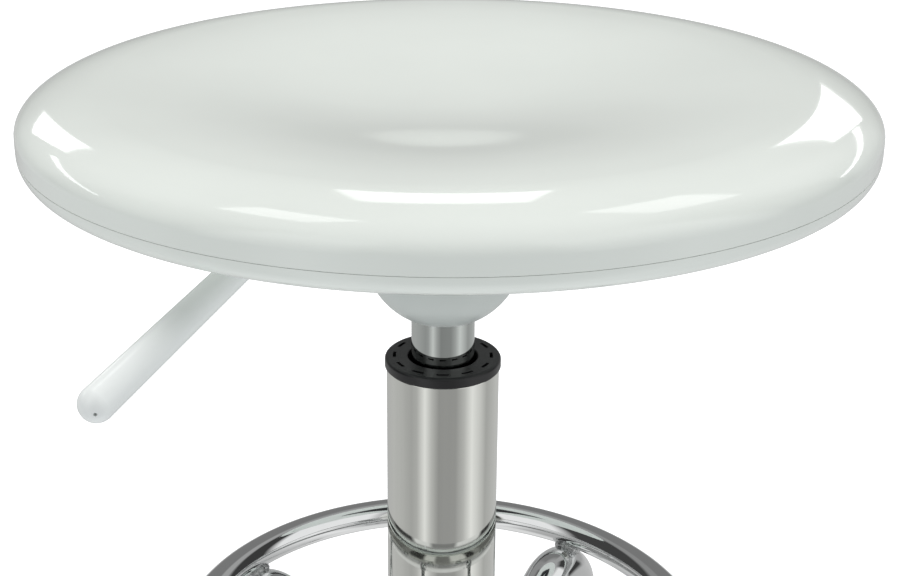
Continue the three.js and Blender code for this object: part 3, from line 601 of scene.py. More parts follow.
class STOOL_OT_seat(bpy.types.Operator):
    """Build the dished seat top and the pan under it"""

    bl_idname = "stool.seat"
    bl_label = "Seat"

    def execute(self, context):
        sizes = context.scene.stool_sizes
        radius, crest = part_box("seat_shell")[1].x, top_of("seat_shell")
        edge = self.pan_edge(radius)
        self.build_top(sizes, radius, crest, edge + sizes.seam)
        self.build_pan(sizes, radius, edge)
        return {"FINISHED"}

    def dish(self, sizes, radius, crest, steps, lowered):
        """Points of the upper face from the rim in to the axis."""
        dish_radius = radius - sizes.rim_width
        points = []
        for i in range(steps + 1):
            r = dish_radius * (steps - i) / steps
            dip = sizes.dish_depth / 2 * (1 + math.cos(math.pi * r / dish_radius))
            points.append((r, crest - dip - lowered))
        return points

    def rim(self, sizes, radius, crest, steps, inset):
        """Points of the rounded rim from its shoulder up to the crest, moved in by a wall thickness."""
        width, drop = sizes.rim_width, sizes.rim_drop
        return [
            (radius - width + (width - inset) * across, crest - drop + (drop - inset) * up)
            for across, up in arc(0, 0, 1, 0, 90, steps)
        ]

    def build_top(self, sizes, radius, crest, edge):
        wall, lip = sizes.seat_wall, 0.35 * MM
        profile = [
            *reversed(self.dish(sizes, radius, crest, 24, wall)),
            *reversed(self.rim(sizes, radius, crest, 14, wall)[:-1]),
            (radius - wall, edge),
            *arc(radius - lip, edge + lip, lip, -90, 0, 4),
            *self.rim(sizes, radius, crest, 40, 0),
            *self.dish(sizes, radius, crest, 48, 0)[1:],
        ]
        top = turned("seat_top", profile, sizes.facets)
        low, boss_height = bottom_of("seat_shell"), 9 * MM
        boss = plug(sizes.boss_width / 2, low, low + boss_height)
        combine_turned(top, boss, 32, screw_places(), "UNION")
        insert_low, insert_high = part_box("threaded_insert_1")
        pocket = plug((insert_high.x - insert_low.x) / 2 + GAP, low - MM, insert_high.z + GAP)
        combine_turned(top, pocket, 32, screw_places(), "DIFFERENCE")
        settle(top, "seat", "seat_plastic", "seat_shell")

    def pan_edge(self, radius):
        """Height of the pan's outer edge, the highest level at which its mesh is as wide as the seat."""
        widest = radius - 0.5 * MM
        return max(v.co.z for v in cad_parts["seat_pan"].data.vertices if v.co.xy.length > widest)

    def build_pan(self, sizes, radius, edge):
        low = bottom_of("seat_pan")
        floor = low + sizes.pan_recess
        fillet = edge - low
        lip_outer, lip_width = radius - sizes.seat_wall - GAP, 2.5 * MM
        lip_inner = lip_outer - lip_width
        lip_top = top_of("seat_pan")
        recess = radius - sizes.pan_ledge
        wall = sizes.pan_wall
        step = rounded([(0, floor, 0), (recess, floor, MM), (recess, low, 0.6 * MM), (radius, low, 0)])
        profile = [
            *step[:-1],
            *arc(radius - fillet, edge, fillet, -90, 0, 16),
            (lip_outer, edge),
            (lip_outer, lip_top),
            (lip_inner, lip_top),
            (lip_inner, low + wall),
            (recess + wall, low + wall),
            (recess + wall, floor + wall),
            (0, floor + wall),
        ]
        pan = turned("seat_underside", profile, sizes.facets)
        hole = plug(sizes.screw_shank / 2 + GAP, floor - MM, floor + wall + MM)
        combine_turned(pan, hole, 32, screw_places(), "DIFFERENCE")
        settle(pan, "seat", "seat_plastic", "seat_pan")


# ---------- Under the seat ----------


class STOOL_OT_hub_cover(bpy.types.Operator):
    """Build the ball-shaped cover over the socket"""

    bl_idname = "stool.hub_cover"
    bl_label = "Hub cover"

    def execute(self, context):
        sizes = context.scene.stool_sizes
        low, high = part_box("hub_cover")
        radius, wall = sizes.cover_radius, sizes.cover_wall
        bore, foot_radius = sizes.cover_bore / 2, 18 * MM
        centre = low.z + math.sqrt(radius**2 - foot_radius**2)
        floor = low.z + wall
        start = math.degrees(math.asin((low.z - centre) / radius))
        inner = radius - wall
        inner_start = math.degrees(math.asin((floor - centre) / inner))
        mouth = high.x
        rim = 0.8 * MM
        profile = [
            (bore, low.z + rim),
            *arc(bore + rim, low.z + rim, rim, 180, 270, 3)[1:],
            *arc(0, centre, radius, start, 0, 28),
            *[self.flare(t / 6, radius, mouth, centre, high.z) for t in range(1, 7)],
            (mouth - wall, high.z),
            *arc(0, centre, inner, 0, inner_start, 20),
            (bore, floor),
        ]
        cover = turned("hub_cover_ball", profile, sizes.facets // 2)
        combine(cover, self.lever_slot(sizes, radius, mouth, high.z), "DIFFERENCE")
        settle(cover, "seat", "cover_plastic", "hub_cover")
        return {"FINISHED"}

    def lever_slot(self, sizes, radius, mouth, top):
        """The slot that the lever passes through, open at the top."""
        clearance, inside, outside = 2 * MM, 6 * MM, 2 * MM
        half = sizes.lever_rod / 2 + clearance
        low = (radius - inside, -half, lever_height(sizes) - half)
        return cuboid("slot", low, (mouth + outside, half, top + MM), sizes.lever_azimuth)

    def flare(self, t, radius, mouth, centre, top):
        """A point of the gentle flare above the ball's widest level."""
        return radius + (mouth - radius) * t * t * (3 - 2 * t), centre + (top - centre) * t


class STOOL_OT_seat_screws(bpy.types.Operator):
    """Build the button-head screws that hold the seat"""

    bl_idname = "stool.seat_screws"
    bl_label = "Seat screws"

    def execute(self, context):
        sizes = context.scene.stool_sizes
        low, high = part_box("seat_screw_1")
        head = (high.x - low.x) / 2
        shank = sizes.screw_shank / 2
        head_top = bottom_of("seat_plate") - GAP
        middle = low.z + (head_top - low.z) / 2
        crown = head * 0.6
        profile = rounded(
            [
                (0, low.z, 0),
                (crown, low.z, 0.6 * MM),
                (head, middle, 0.8 * MM),
                (head, head_top, 0.2 * MM),
                (shank, head_top, 0),
                (shank, high.z, 0.5 * MM),
                (0, high.z, 0),
            ]
        )
        key = plug(sizes.screw_key / math.sqrt(3), low.z - MM, middle)
        for i, place in enumerate(screw_places(), 1):
            bm = turned_bmesh(profile, 40)
            bm.transform(place)
            screw = new_object(f"button_screw_{i}", bm)
            combine_turned(screw, key, 6, [place], "DIFFERENCE")
            settle(screw, "seat", "plain_steel", f"seat_screw_{i}")
        return {"FINISHED"}


# ---------- Lever ----------


class STOOL_OT_lever(bpy.types.Operator):
    """Build the height lever and its handle"""

    bl_idname = "stool.lever"
    bl_label = "Height lever"

    # radii from the stool's axis
    rod_start, pivot, corner = -3.4 * MM, 26 * MM, 118 * MM
    # distances along the drooping part: of the grip from the corner, then of the rest from the grip's start
    grip_start, socket_reach, grip_length, socket_depth = 3 * MM, 71.7 * MM, 97 * MM, 72 * MM

    def execute(self, context):
        sizes = context.scene.stool_sizes
        self.azimuth, self.droop = sizes.lever_azimuth, sizes.lever_droop
        self.height = lever_height(sizes)
        self.build_rod(sizes)
        self.build_handle(sizes)
        return {"FINISHED"}

    def past_corner(self, distance):
        """Point on the drooping part of the lever, at a distance past its corner."""
        r = self.corner + distance * math.cos(self.droop)
        return in_plane(self.azimuth, r, self.height - distance * math.sin(self.droop))

    def build_rod(self, sizes):
        bend, steps = 12 * MM, 8
        tangent = bend * math.tan(self.droop / 2)
        points = [in_plane(self.azimuth, r, self.height) for r in (self.rod_start, 20 * MM, 60 * MM)]
        for i in range(steps + 1):
            a = math.pi / 2 - self.droop * i / steps
            r = self.corner - tangent + bend * math.cos(a)
            points.append(in_plane(self.azimuth, r, self.height - bend + bend * math.sin(a)))
        points.append(self.past_corner(self.grip_start + self.socket_reach))
        radii = [sizes.lever_rod / 2] * len(points)
        bm, _, _ = swept_bmesh(points, radii, 32, around(self.azimuth + math.pi / 2))
        rod = new_object("lever_bar", bm)
        self.add_eye(rod)
        settle(rod, "lever", "plain_steel", "lever_rod")

    def add_eye(self, rod):
        """The cross-drilled eye that the pivot pin passes through."""
        outer, half, bore, past, edge = 5 * MM, 4.5 * MM, 2.3 * MM, 6 * MM, 0.5 * MM
        place = Matrix.Translation(in_plane(self.azimuth, self.pivot, self.height))
        place = place @ Matrix.Rotation(self.azimuth, 4, "Z") @ Matrix.Rotation(math.pi / 2, 4, "X")
        eye = rounded([(0, -half, 0), (outer, -half, edge), (outer, half, edge), (0, half, 0)])
        combine_turned(rod, eye, 40, [place], "UNION")
        combine_turned(rod, plug(bore, -past, past), 32, [place], "DIFFERENCE")

    def build_handle(self, sizes):
        reach, bore = self.grip_length, sizes.lever_rod / 2 + GAP
        root, tip, rim = 5.5 * MM, sizes.handle_tip / 2, 0.8 * MM
        profile = [
            (0, self.socket_depth),
            (bore, self.socket_depth),
            (bore, 0),
            *arc(root - rim, rim, rim, -90, 0, 5),
            *[(root + (tip - root) * t / 10, rim + (reach - tip - rim) * t / 10) for t in range(1, 10)],
            *arc(0, reach - tip, tip, 0, 90, 14),
        ]
        bm = turned_bmesh(profile, 64)
        start = self.past_corner(self.grip_start)
        lean = Matrix.Rotation(self.azimuth, 4, "Z") @ Matrix.Rotation(math.pi / 2 + self.droop, 4, "Y")
        bm.transform(Matrix.Translation(start) @ lean)
        handle = new_object("lever_grip", bm)
        self.add_vent(handle, lean, start, reach, tip)
        settle(handle, "lever", "handle_plastic", "lever_handle")

    def add_vent(self, handle, lean, start, reach, tip):
        """A small moulding hole on the side of the handle, near its end."""
        bore, length_cut, depth = 0.7 * MM, 4 * MM, 2 * MM
        round_grip, towards_end = math.radians(100), math.radians(42)
        across = Matrix.Rotation(round_grip, 4, "Z") @ Matrix.Rotation(towards_end, 4, "Y")
        to_end, to_skin = Matrix.Translation((0, 0, reach - tip)), Matrix.Translation((0, 0, tip - depth))
        place = Matrix.Translation(start) @ (lean @ to_end @ across @ to_skin)
        combine_turned(handle, plug(bore, 0, length_cut), 20, [place], "DIFFERENCE")


# ---------- Gas lift and column ----------


class STOOL_OT_gas_cylinder(bpy.types.Operator):
    """Build the polished cylinder between the column and the seat"""

    bl_idname = "stool.gas_cylinder"
    bl_label = "Gas cylinder"

    def execute(self, context):
        sizes = context.scene.stool_sizes
        low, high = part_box("gas_cylinder")
        outer, bore = high.x, sizes.lift_bore / 2
        shoulder = bottom_of("taper_socket")
        profile = rounded(
            [
                (bore, low.z, 0.3 * MM),
                (outer, low.z, 0.6 * MM),
                (outer, shoulder, 0),
                (outer - sizes.taper_drop, high.z, 0.4 * MM),
                (bore, high.z, 0.3 * MM),
            ]
        )
        made = turned("lift_cylinder", profile, sizes.facets // 2)
        settle(made, "seat", "polished_chrome", "gas_cylinder", look="ground_rod")
        return {"FINISHED"}


class STOOL_OT_column(bpy.types.Operator):
    """Build the column tube, its slotted collar and the hub that carries the legs"""

    bl_idname = "stool.column"
    bl_label = "Column"

    def execute(self, context):
        sizes = context.scene.stool_sizes
        self.build_tube(sizes)
        self.build_collar(sizes)
        self.build_hub(sizes)
        return {"FINISHED"}

    def build_tube(self, sizes):
        low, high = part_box("column_tube")
        outer = high.x
        bore = outer - sizes.column_wall
        edge = sizes.edge_round
        profile = rounded(
            [(bore, low.z, edge / 2), (outer, low.z, edge), (outer, high.z, edge), (bore, high.z, edge / 2)]
        )
        tube = turned("column_sleeve", profile, sizes.facets)
        settle(tube, "base", "satin_chrome", "column_tube")

    def build_collar(self, sizes):
        low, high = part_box("column_collar")
        bore, rim = sizes.collar_bore / 2, high.x
        seat = top_of("column_tube") + GAP
        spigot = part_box("column_tube")[1].x - sizes.column_wall - GAP
        profile = rounded(
            [
                (bore, low.z, 0.3 * MM),
                (spigot, low.z, 0.5 * MM),
                (spigot, seat, 0),
                (rim, seat, 0.3 * MM),
                (rim, high.z, 1.5 * MM),
                (bore, high.z, 0.6 * MM),
            ],
            steps=6,
        )
        collar = turned("column_collar_ring", profile, sizes.facets)
        slots = 12
        turns = [Matrix.Rotation(TURN * i / slots, 4, "Z") for i in range(slots)]
        combine(collar, copies("slots", lambda: self.slot_bmesh(rim, high.z), turns), "DIFFERENCE")
        settle(collar, "base", "black_plastic", "column_collar")

    def slot_bmesh(self, rim, top):
        """A curved block that cuts one slot of the collar's ring of slots."""
        outer, width, depth = rim - 3.6 * MM, 1.4 * MM, 2 * MM
        half, steps = math.radians(7.5), 6
        angles = [half * (2 * i / steps - 1) for i in range(steps + 1)]
        bm = bmesh.new()
        rings = []
        for z in (top - depth, top + MM):
            flat = [(outer, a) for a in angles] + [(outer - width, a) for a in reversed(angles)]
            rings.append([bm.verts.new((r * math.cos(a), r * math.sin(a), z)) for r, a in flat])
        bridge(bm, rings[0], rings[1])
        bm.faces.new(rings[0])
        bm.faces.new(rings[1])
        return bm

    def build_hub(self, sizes):
        low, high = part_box("base_hub")
        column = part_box("column_tube")[1].x
        inner, outer = column + GAP, high.x
        profile = rounded(
            [(inner, low.z, 0), (outer, low.z, 2 * MM), (outer, high.z, 2 * MM), (inner, high.z, 0)], steps=6
        )
        hub = turned("leg_hub", profile, sizes.facets)
        settle(hub, "base", "polished_chrome", "base_hub")
        steps, bead_radius, bead_centre = 160, 1.5 * MM, column + 0.8 * MM
        for name, z in (("hub_weld_upper", high.z), ("hub_weld_lower", low.z)):
            points = [in_plane(TURN * i / steps, bead_centre, z) for i in range(steps)]
            add_weld(name, points, bead_radius, Vector((0, 0, 1)), 6)


def add_weld(name, points, radius, reference, seed):
    """A closed bead along a path, with the overlapping ripples of a weld."""
    pitch, fewest, grain = 1.7 * MM, 8, 220
    radii = []
    count = len(points)
    around_path = sum((points[i] - points[i - 1]).length for i in range(count))
    ripples = max(fewest, round(around_path / pitch))
    for i in range(count):
        wave = (i * ripples / count) % 1
        swell = 0.9 + 0.16 * (1 - wave) ** 2
        radii.append(radius * swell * (1 + 0.1 * noise.noise(points[i] * grain + Vector((seed, 0, 0)))))
    bm, _, _ = swept_bmesh(points, radii, 14, reference, closed=True)
    bead = new_object(name, bm, sharp_degrees=60)
    settle(bead, "base", "polished_chrome", look="weld_bead")


# ---------- Legs and foot ring ----------


class STOOL_OT_foot_ring(bpy.types.Operator):
    """Build the round bar of the foot ring"""

    bl_idname = "stool.foot_ring"
    bl_label = "Foot ring"

    def execute(self, context):
        sizes = context.scene.stool_sizes
        low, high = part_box("foot_ring")
        bar = sizes.ring_bar / 2
        centre = high.x - bar
        section = arc(centre, (low.z + high.z) / 2, bar, 0, 360, 40)[:-1]
        made = turned("foot_ring_bar", section, 2 * sizes.facets)
        settle(made, "base", "polished_chrome", "foot_ring")
        return {"FINISHED"}


class LegPath:
    """Centre line of a leg in its own vertical plane, worked out from the ring, the hub and the foot."""

    foot_radius = 170 * MM

    def __init__(self, sizes):
        ring_low, ring_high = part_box("foot_ring")
        hub_low, hub_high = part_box("base_hub")
        bar = sizes.ring_bar / 2
        self.radius, self.bend = sizes.leg_radius, sizes.leg_bend
        self.contact = sizes.ring_contact
        ring_r, ring_z = ring_high.x - bar, ring_low.z + bar
        reach = self.bend + self.radius + GAP + bar
        across, up = reach * math.cos(self.contact), reach * math.sin(self.contact)
        self.centre = Vector((ring_r - across, ring_z - up))
        self.hub = Vector((hub_high.x, (hub_low.z + hub_high.z) / 2))
        self.foot = Vector((self.foot_radius, 0))
        self.rise = self.heading(self.hub, 1)
        self.drop = self.heading(self.foot, -1) - math.pi
        self.cap_top = bottom_of("leg_1") - GAP

    def heading(self, point, side):
        """Heading from a point that just touches the bend: side is 1 above, -1 below."""
        across = self.centre - point
        return math.atan2(across.y, across.x) + side * math.asin(self.bend / across.length)

    def foot_at(self, height):
        """Radius of the lower run at a height."""
        return self.foot.x + height / math.tan(self.drop)

    def points(self, azimuth):
        """Points from inside the hub, round the bend, down to the foot."""
        steps = 28
        along = Vector((math.cos(self.rise), math.sin(self.rise)))
        flat = [self.hub - along * 2 * MM, self.hub + along * 20 * MM]
        for i in range(steps + 1):
            a = self.rise + math.pi / 2 + (self.drop - self.rise) * i / steps
            flat.append(self.centre + self.bend * Vector((math.cos(a), math.sin(a))))
        for height in (120 * MM, 50 * MM, self.cap_top + GAP):
            flat.append(Vector((self.foot_at(height), height)))
        return [in_plane(azimuth, p.x, p.y) for p in flat]


class STOOL_OT_legs(bpy.types.Operator):
    """Build the four bent legs and the welds at the ring and hub"""

    bl_idname = "stool.legs"
    bl_label = "Legs"

    def execute(self, context):
        sizes = context.scene.stool_sizes
        path = LegPath(sizes)
        for i in range(4):
            azimuth = sizes.leg_azimuth + i * TURN / 4
            self.build_leg(sizes, path, azimuth, i + 1)
            self.build_ring_weld(path, azimuth, i + 1)
            self.build_hub_weld(path, azimuth, i + 1)
        return {"FINISHED"}

    def build_leg(self, sizes, path, azimuth, number):
        points = path.points(azimuth)
        side = around(azimuth + math.pi / 2)
        radii = [path.radius] * len(points)
        bm, outer, inner = swept_bmesh(points, radii, 48, side, bore=path.radius - sizes.leg_wall)
        rise, drop = at_heading(azimuth, path.rise), at_heading(azimuth, path.drop)
        for row in (outer, inner):
            for v in row[0]:
                v.co = self.onto_hub(v.co, rise, path.hub.x + GAP)
            for v in row[-1]:
                v.co += drop * ((path.cap_top + GAP - v.co.z) / drop.z)
        leg = new_object(f"leg_tube_{number}", bm)
        settle(leg, "base", "polished_chrome", f"leg_{number}")

    def onto_hub(self, point, along, radius):
        """Slides a point along the leg until it lies on the hub's face."""
        a = along.x**2 + along.y**2
        b = point.x * along.x + point.y * along.y
        c = point.x**2 + point.y**2 - radius**2
        return point + along * ((-b + math.sqrt(b * b - a * c)) / a)

    def build_ring_weld(self, path, azimuth, number):
        """A small bead round the spot where the ring touches the leg's shoulder."""
        steps, half_width, half_height, sag, bead_radius = 96, 5.2 * MM, 4.2 * MM, 0.5 * MM, 1.9 * MM
        out = Vector((math.cos(path.contact), math.sin(path.contact)))
        spot = path.centre + (path.bend + path.radius + 0.5 * GAP) * out
        normal = at_heading(azimuth, path.contact)
        across = around(azimuth + math.pi / 2)
        slope = normal.cross(across)
        middle = in_plane(azimuth, spot.x, spot.y)
        points = []
        for i in range(steps):
            a = TURN * i / steps
            flat = across * (half_width * math.cos(a)) + slope * (half_height * math.sin(a))
            points.append(middle + flat - normal * (sag * math.cos(2 * a)))
        add_weld(f"ring_weld_{number}", points, bead_radius, normal, number)

    def build_hub_weld(self, path, azimuth, number):
        """A bead round the leg where it meets the hub."""
        steps, off_leg, off_hub, bead_radius = 120, 0.3 * MM, 0.4 * MM, 1.6 * MM
        rise = at_heading(azimuth, path.rise)
        across = around(azimuth + math.pi / 2)
        up = rise.cross(across)
        start = in_plane(azimuth, path.hub.x, path.hub.y)
        points = []
        for i in range(steps):
            a = TURN * i / steps
            on_leg = start + (across * math.cos(a) + up * math.sin(a)) * (path.radius + off_leg)
            points.append(self.onto_hub(on_leg, rise, path.hub.x + off_hub))
        add_weld(f"leg_weld_{number}", points, bead_radius, rise, 10 + number)


class STOOL_OT_feet(bpy.types.Operator):
    """Build the foot caps and their pads"""

    bl_idname = "stool.feet"
    bl_label = "Feet"

    def execute(self, context):
        for i in range(1, 5):
            self.build_foot(i)
        return {"FINISHED"}

    def build_foot(self, number):
        pad_low, pad_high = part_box(f"foot_pad_{number}")
        centre = (pad_low + pad_high) / 2
        place = Matrix.Translation((centre.x, centre.y, 0))
        pad, cap = 12 * MM, 16 * MM
        groove_low, groove_high, slant, groove = 5.2 * MM, 6.8 * MM, 0.4 * MM, 0.5 * MM
        low, top = bottom_of(f"foot_cap_{number}"), bottom_of(f"leg_{number}") - GAP
        shell = [
            (0, pad_high.z + GAP, 0),
            (pad + GAP, pad_high.z + GAP, 0),
            (pad + GAP, low, 0.2 * MM),
            (cap, low, 1.6 * MM),
            (cap, groove_low, 0.2 * MM),
            (cap - groove, groove_low + slant, 0.1 * MM),
            (cap - groove, groove_high - slant, 0.1 * MM),
            (cap, groove_high, 0.2 * MM),
            (cap, top, 2 * MM),
            (0, top, 0),
        ]
        sole = [(0, 0, 0), (pad, 0, 0.8 * MM), (pad, pad_high.z, 0.2 * MM), (0, pad_high.z, 0)]
        for name, profile, facets, slot, node in (
            (f"foot_cap_shell_{number}", rounded(shell, steps=5), 72, "black_plastic", f"foot_cap_{number}"),
            (f"foot_sole_{number}", rounded(sole), 56, "rubber", f"foot_pad_{number}"),
        ):
            bm = turned_bmesh(profile, facets)
            bm.transform(place)
            settle(new_object(name, bm), "base", slot, node)


# ---------- Pieces carried over from the frame ----------


class STOOL_OT_inner_parts(bpy.types.Operator):
    """Give the mechanism's own pieces their finishes"""

    bl_idname = "stool.inner_parts"
    bl_label = "Inner parts"

    finishes = {
        "black_plastic": ("guide_sleeve", "bearing_cage", "rod_guide"),
        "rubber": ("lift_buffer", "piston_seal", "rod_seal"),
        "polished_chrome": ("piston_rod",),
        "brass": ("valve_block", "threaded_insert"),
        "painted_steel": ("taper_socket", "seat_plate", "lever_bracket"),
        "plain_steel": (
            "column_disc", "bearing_washer", "bearing_ball", "retaining_clip",
            "piston", "piston_nut", "pivot_pin", "valve_button",
        ),
    }

    def slot_of(self, node):
        """The slot of the longest listed name that a node's name starts with."""
        starts = [(start, slot) for slot, names in self.finishes.items() for start in names]
        matches = [(len(start), slot) for start, slot in starts if node.startswith(start)]
        if not matches:
            raise RuntimeError(f"no finish is named for {node}")
        return max(matches)[1]

    def execute(self, context):
        for name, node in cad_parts.items():
            if node.hide_render:
                continue
            slot = self.slot_of(name)
            if not node.material_slots:
                node.data.materials.append(None)
            for holder in node.material_slots:
                holder.material = finish(slot)
            if name in ("seat_plate", "taper_socket", "lever_bracket", "pivot_pin"):
                self.soften(node)
        return {"FINISHED"}

    def soften(self, node):
        """Breaks the sharp edges of a steel piece."""
        bevel = node.modifiers.new("Broken edges", "BEVEL")
        bevel.width = 0.3 * MM
        bevel.segments = 2
        bevel.limit_method = "ANGLE"
        bevel.angle_limit = math.radians(50)


# ---------- Stage ----------


class STOOL_OT_stage(bpy.types.Operator):
    """Build the floor, lights, surroundings and camera"""

    bl_idname = "stool.stage"
    bl_label = "Stage"

    # name: azimuth, elevation, distance (m), width (m), height (m), brightness
    softboxes = {
        "Ceiling": (90, 89.0, 5.0, 4.6, 4.6, 3.0),
        "Left fill": (-168, 8.0, 2.6, 1.2, 1.0, 1.5),
        "Right fill": (-12, 8.0, 2.6, 1.2, 1.0, 1.2),
        "Back left box": (122, 20.0, 2.6, 0.42, 0.6, 2.6),
        "Left strip": (152, 25.0, 2.6, 1.5, 0.12, 3.0),
        "Back right box": (65, 17.5, 2.6, 0.5, 0.5, 2.4),
        "Right strip": (43, 17.0, 2.6, 1.4, 0.12, 3.0),
        "Back strip": (90, 38.0, 2.6, 0.54, 0.6, 1.9),
        "Top left box": (134, 64.0, 2.4, 0.5, 0.6, 2.0),
        "Top right box": (51, 53.0, 2.4, 0.6, 0.56, 1.6),
    }
    matt_only = ("Ceiling", "Left fill", "Right fill")
    # (azimuth, brightness) round the stool, above and below the horizon, as reflections see it
    high_walls = (
        (-180, 0.06), (-158, 0.06), (-146, 0.95), (-118, 0.95), (-108, 0.3), (-64, 0.3),
        (-54, 0.95), (-6, 0.95), (4, 0.05), (28, 0.05), (36, 0.4), (56, 0.4),
        (64, 0.22), (116, 0.22), (124, 0.3), (146, 0.3), (156, 0.06), (180, 0.06),
    )
    low_walls = (
        (-180, 0.55), (-156, 0.47), (-144, 0.53), (-126, 0.95), (-112, 0.6),
        (-97, 0.37), (-62, 0.39), (-44, 0.6), (-26, 0.97), (-6, 0.72),
        (12, 0.5), (50, 0.6), (110, 0.5), (150, 0.6), (180, 0.55),
    )
    sky_shine = 0.4
    floor_shine = 0.85
    # heights, from -1 straight down to 1 straight up, over which one zone fades into the next
    horizon_fade = (-0.2, 0.0)
    sky_fade = (0.8, 0.92)
    floor_fade = (-0.93, -0.82)
    glow_fade = (-0.15, 0.15)

    def execute(self, context):
        stage = context.scene.stool_stage
        self.build_floor(stage)
        self.build_world(context, stage)
        seat_only = bpy.data.collections.new("Seat in the softboxes")
        for name in ("seat_top", "seat_underside", "lever_grip"):
            seat_only.objects.link(bpy.data.objects[name])
        for name, values in self.softboxes.items():
            lamp = self.add_softbox(name, *values)
            if name in self.matt_only:
                lamp.visible_glossy = False
            if name != "Ceiling":
                lamp.light_linking.receiver_collection = seat_only
        self.add_camera(context, stage)
        context.scene.view_settings.view_transform = "Standard"
        return {"FINISHED"}

    def build_floor(self, stage):
        sheet = NodeSheet("floor_paper")
        fibre = sheet.noise(220, 4)
        pale = tuple(stage.floor_colour)
        sheet.colour_by(fibre, scaled(pale, 0.99), scaled(pale, 1.01), 0, 1)
        sheet.roughen_by(fibre, 0.75, 0.85)
        away = sheet.add("ShaderNodeVectorMath", operation="LENGTH")
        sheet.link(sheet.coordinates, away.inputs[0])
        near, far, near_glow = 0.25, 0.9, 0.2
        glow = sheet.spread(away.outputs["Value"], near_glow, stage.floor_glow, near, far)
        sheet.link(glow, sheet.shader.inputs["Emission Strength"])
        sheet.set(Emission_Color=(1, 1, 1, 1))
        bm = bmesh.new()
        bmesh.ops.create_grid(bm, x_segments=8, y_segments=8, size=stage.floor_size / 2)
        floor = new_object("floor_sheet", bm)
        floor.data.materials.append(sheet.material)
        floor.visible_diffuse = False
        floor.visible_glossy = False

    def build_world(self, context, stage):
        """White behind the stool, an even glow on matt surfaces, and grey and white walls in reflections."""
        world = bpy.data.worlds.new("Studio")
        context.scene.world = world
        world.use_nodes = True
        nodes = Nodes(world.node_tree)
        split = nodes.add("ShaderNodeSeparateXYZ")
        nodes.link(nodes.add("ShaderNodeTexCoord").outputs["Generated"], split.inputs["Vector"])
        angle = nodes.add("ShaderNodeMath", operation="ARCTAN2")
        nodes.link(split.outputs["Y"], angle.inputs[0])
        nodes.link(split.outputs["X"], angle.inputs[1])
        turned_to = nodes.spread(angle.outputs["Value"], 0, 1, -math.pi, math.pi)

        def cool(value):
            return (value * 0.97, value, value * 1.03)

        def grey(value):
            return (value, value, value)

        def fade(low, high):
            """Rises from 0 to 1 between two heights."""
            return nodes.spread(split.outputs["Z"], 0, 1, low, high)

        def walls(shades):
            node = nodes.add("ShaderNodeValToRGB")
            stops = node.color_ramp.elements
            while len(stops) < len(shades):
                stops.new(0.5)
            for stop, (azimuth, shade) in zip(stops, shades):
                stop.position = (azimuth + 180) / 360
                stop.color = (*grey(shade), 1)
            nodes.link(turned_to, node.inputs["Fac"])
            return node.outputs["Color"]

        level = nodes.blend(fade(*self.horizon_fade), walls(self.low_walls), walls(self.high_walls))
        level = nodes.blend(fade(*self.sky_fade), level, grey(self.sky_shine))
        reflected = nodes.blend(fade(*self.floor_fade), grey(self.floor_shine), level)
        even = nodes.blend(fade(*self.glow_fade), cool(stage.floor_bounce), cool(stage.ambient))
        rays = nodes.add("ShaderNodeLightPath")
        shown = nodes.blend(rays.outputs["Is Glossy Ray"], even, reflected)
        shown = nodes.blend(rays.outputs["Is Camera Ray"], shown, grey(1.0))
        nodes.link(shown, nodes.tree.nodes["Background"].inputs["Color"])

    def add_softbox(self, name, azimuth, elevation, distance, width, height, brightness):
        """A rectangular light aimed at the seat, placed by direction and distance."""
        light = bpy.data.lights.new(name, "AREA")
        light.shape = "RECTANGLE"
        light.size, light.size_y = width, height
        light.energy = brightness * math.pi * width * height
        lamp = bpy.data.objects.new(name, light)
        bpy.context.scene.collection.objects.link(lamp)
        target = Vector((0, 0, CAD_HIGH.z))
        a, e = math.radians(azimuth), math.radians(elevation)
        towards = Vector((math.cos(a) * math.cos(e), math.sin(a) * math.cos(e), math.sin(e)))
        lamp.location = target + towards * distance
        lamp.rotation_euler = towards.to_track_quat("Z", "Y").to_euler()
        lamp.visible_camera = False
        return lamp

    def add_camera(self, context, stage):
        camera = bpy.data.cameras.new("Camera")
        camera.lens, camera.sensor_width = stage.lens, 36
        camera.shift_x = stage.camera_shift
        camera.clip_start, camera.clip_end = 0.02, 60
        holder = bpy.data.objects.new("Camera", camera)
        context.scene.collection.objects.link(holder)
        yaw, pitch, roll = stage.camera_yaw, stage.camera_pitch, stage.camera_roll
        ahead = Vector((math.sin(yaw) * math.cos(pitch), math.cos(yaw) * math.cos(pitch), -math.sin(pitch)))
        level_up = Vector((math.sin(yaw) * math.sin(pitch), math.cos(yaw) * math.sin(pitch), math.cos(pitch)))
        level_right = Vector((math.cos(yaw), -math.sin(yaw), 0))
        right = math.cos(roll) * level_right + math.sin(roll) * level_up
        up = math.cos(roll) * level_up - math.sin(roll) * level_right
        turn = Matrix((right, up, -ahead)).transposed().to_4x4()
        holder.matrix_world = Matrix.Translation(Vector(stage.camera_place)) @ turn
        context.scene.camera = holder


# ---------- Add-on ----------


class STOOL_PT_panel(bpy.types.Panel):
    """Sizes, colours and steps of the stool"""

    bl_label = "Swivel Stool"
    bl_idname = "STOOL_PT_panel"
    bl_space_type = "VIEW_3D"
    bl_region_type = "UI"
    bl_category = "Stool"

    def draw(self, context):
        for title, group in (
            ("Sizes", context.scene.stool_sizes),
            ("Colours", context.scene.stool_colours),
            ("Stage", context.scene.stool_stage),
        ):
            box = self.layout.box()
            box.label(text=title)
            for key in group.bl_rna.properties.keys():
                if key not in ("rna_type", "name"):
                    box.prop(group, key)
        column = self.layout.column()
        for operator in OPERATORS:
            column.operator(operator.bl_idname)


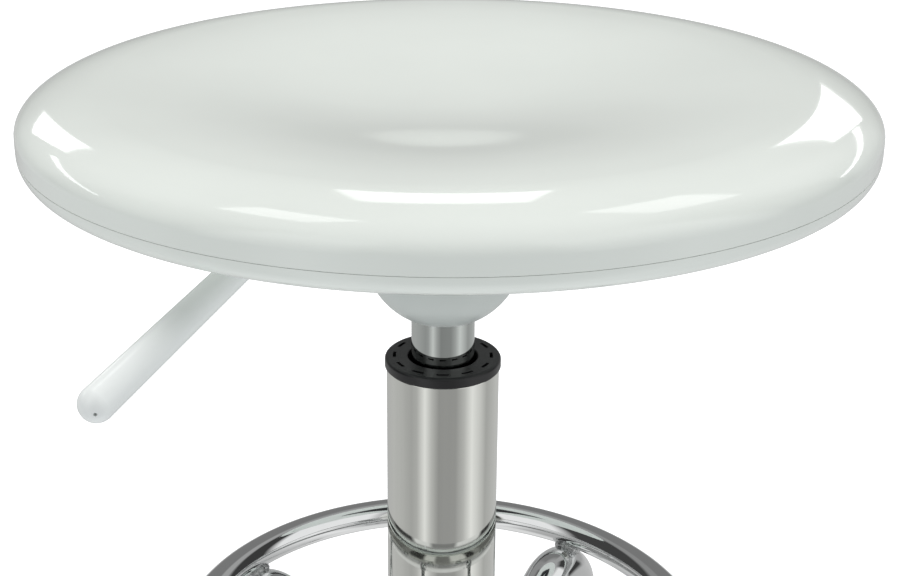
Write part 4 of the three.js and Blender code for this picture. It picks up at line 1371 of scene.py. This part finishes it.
OPERATORS = (
    STOOL_OT_seat,
    STOOL_OT_hub_cover,
    STOOL_OT_seat_screws,
    STOOL_OT_lever,
    STOOL_OT_gas_cylinder,
    STOOL_OT_column,
    STOOL_OT_foot_ring,
    STOOL_OT_legs,
    STOOL_OT_feet,
    STOOL_OT_inner_parts,
    STOOL_OT_stage,
)
GROUPS = (StoolSizes, StoolColours, StoolStage)


def register():
    for made in (*GROUPS, *OPERATORS, STOOL_PT_panel):
        bpy.utils.register_class(made)
    bpy.types.Scene.stool_sizes = PointerProperty(type=StoolSizes)
    bpy.types.Scene.stool_colours = PointerProperty(type=StoolColours)
    bpy.types.Scene.stool_stage = PointerProperty(type=StoolStage)


def unregister():
    del bpy.types.Scene.stool_stage
    del bpy.types.Scene.stool_colours
    del bpy.types.Scene.stool_sizes
    for made in reversed((*GROUPS, *OPERATORS, STOOL_PT_panel)):
        bpy.utils.unregister_class(made)


def main():
    register()
    for operator in OPERATORS:
        group, name = operator.bl_idname.split(".")
        getattr(getattr(bpy.ops, group), name)()


if __name__ == "__main__":
    main()
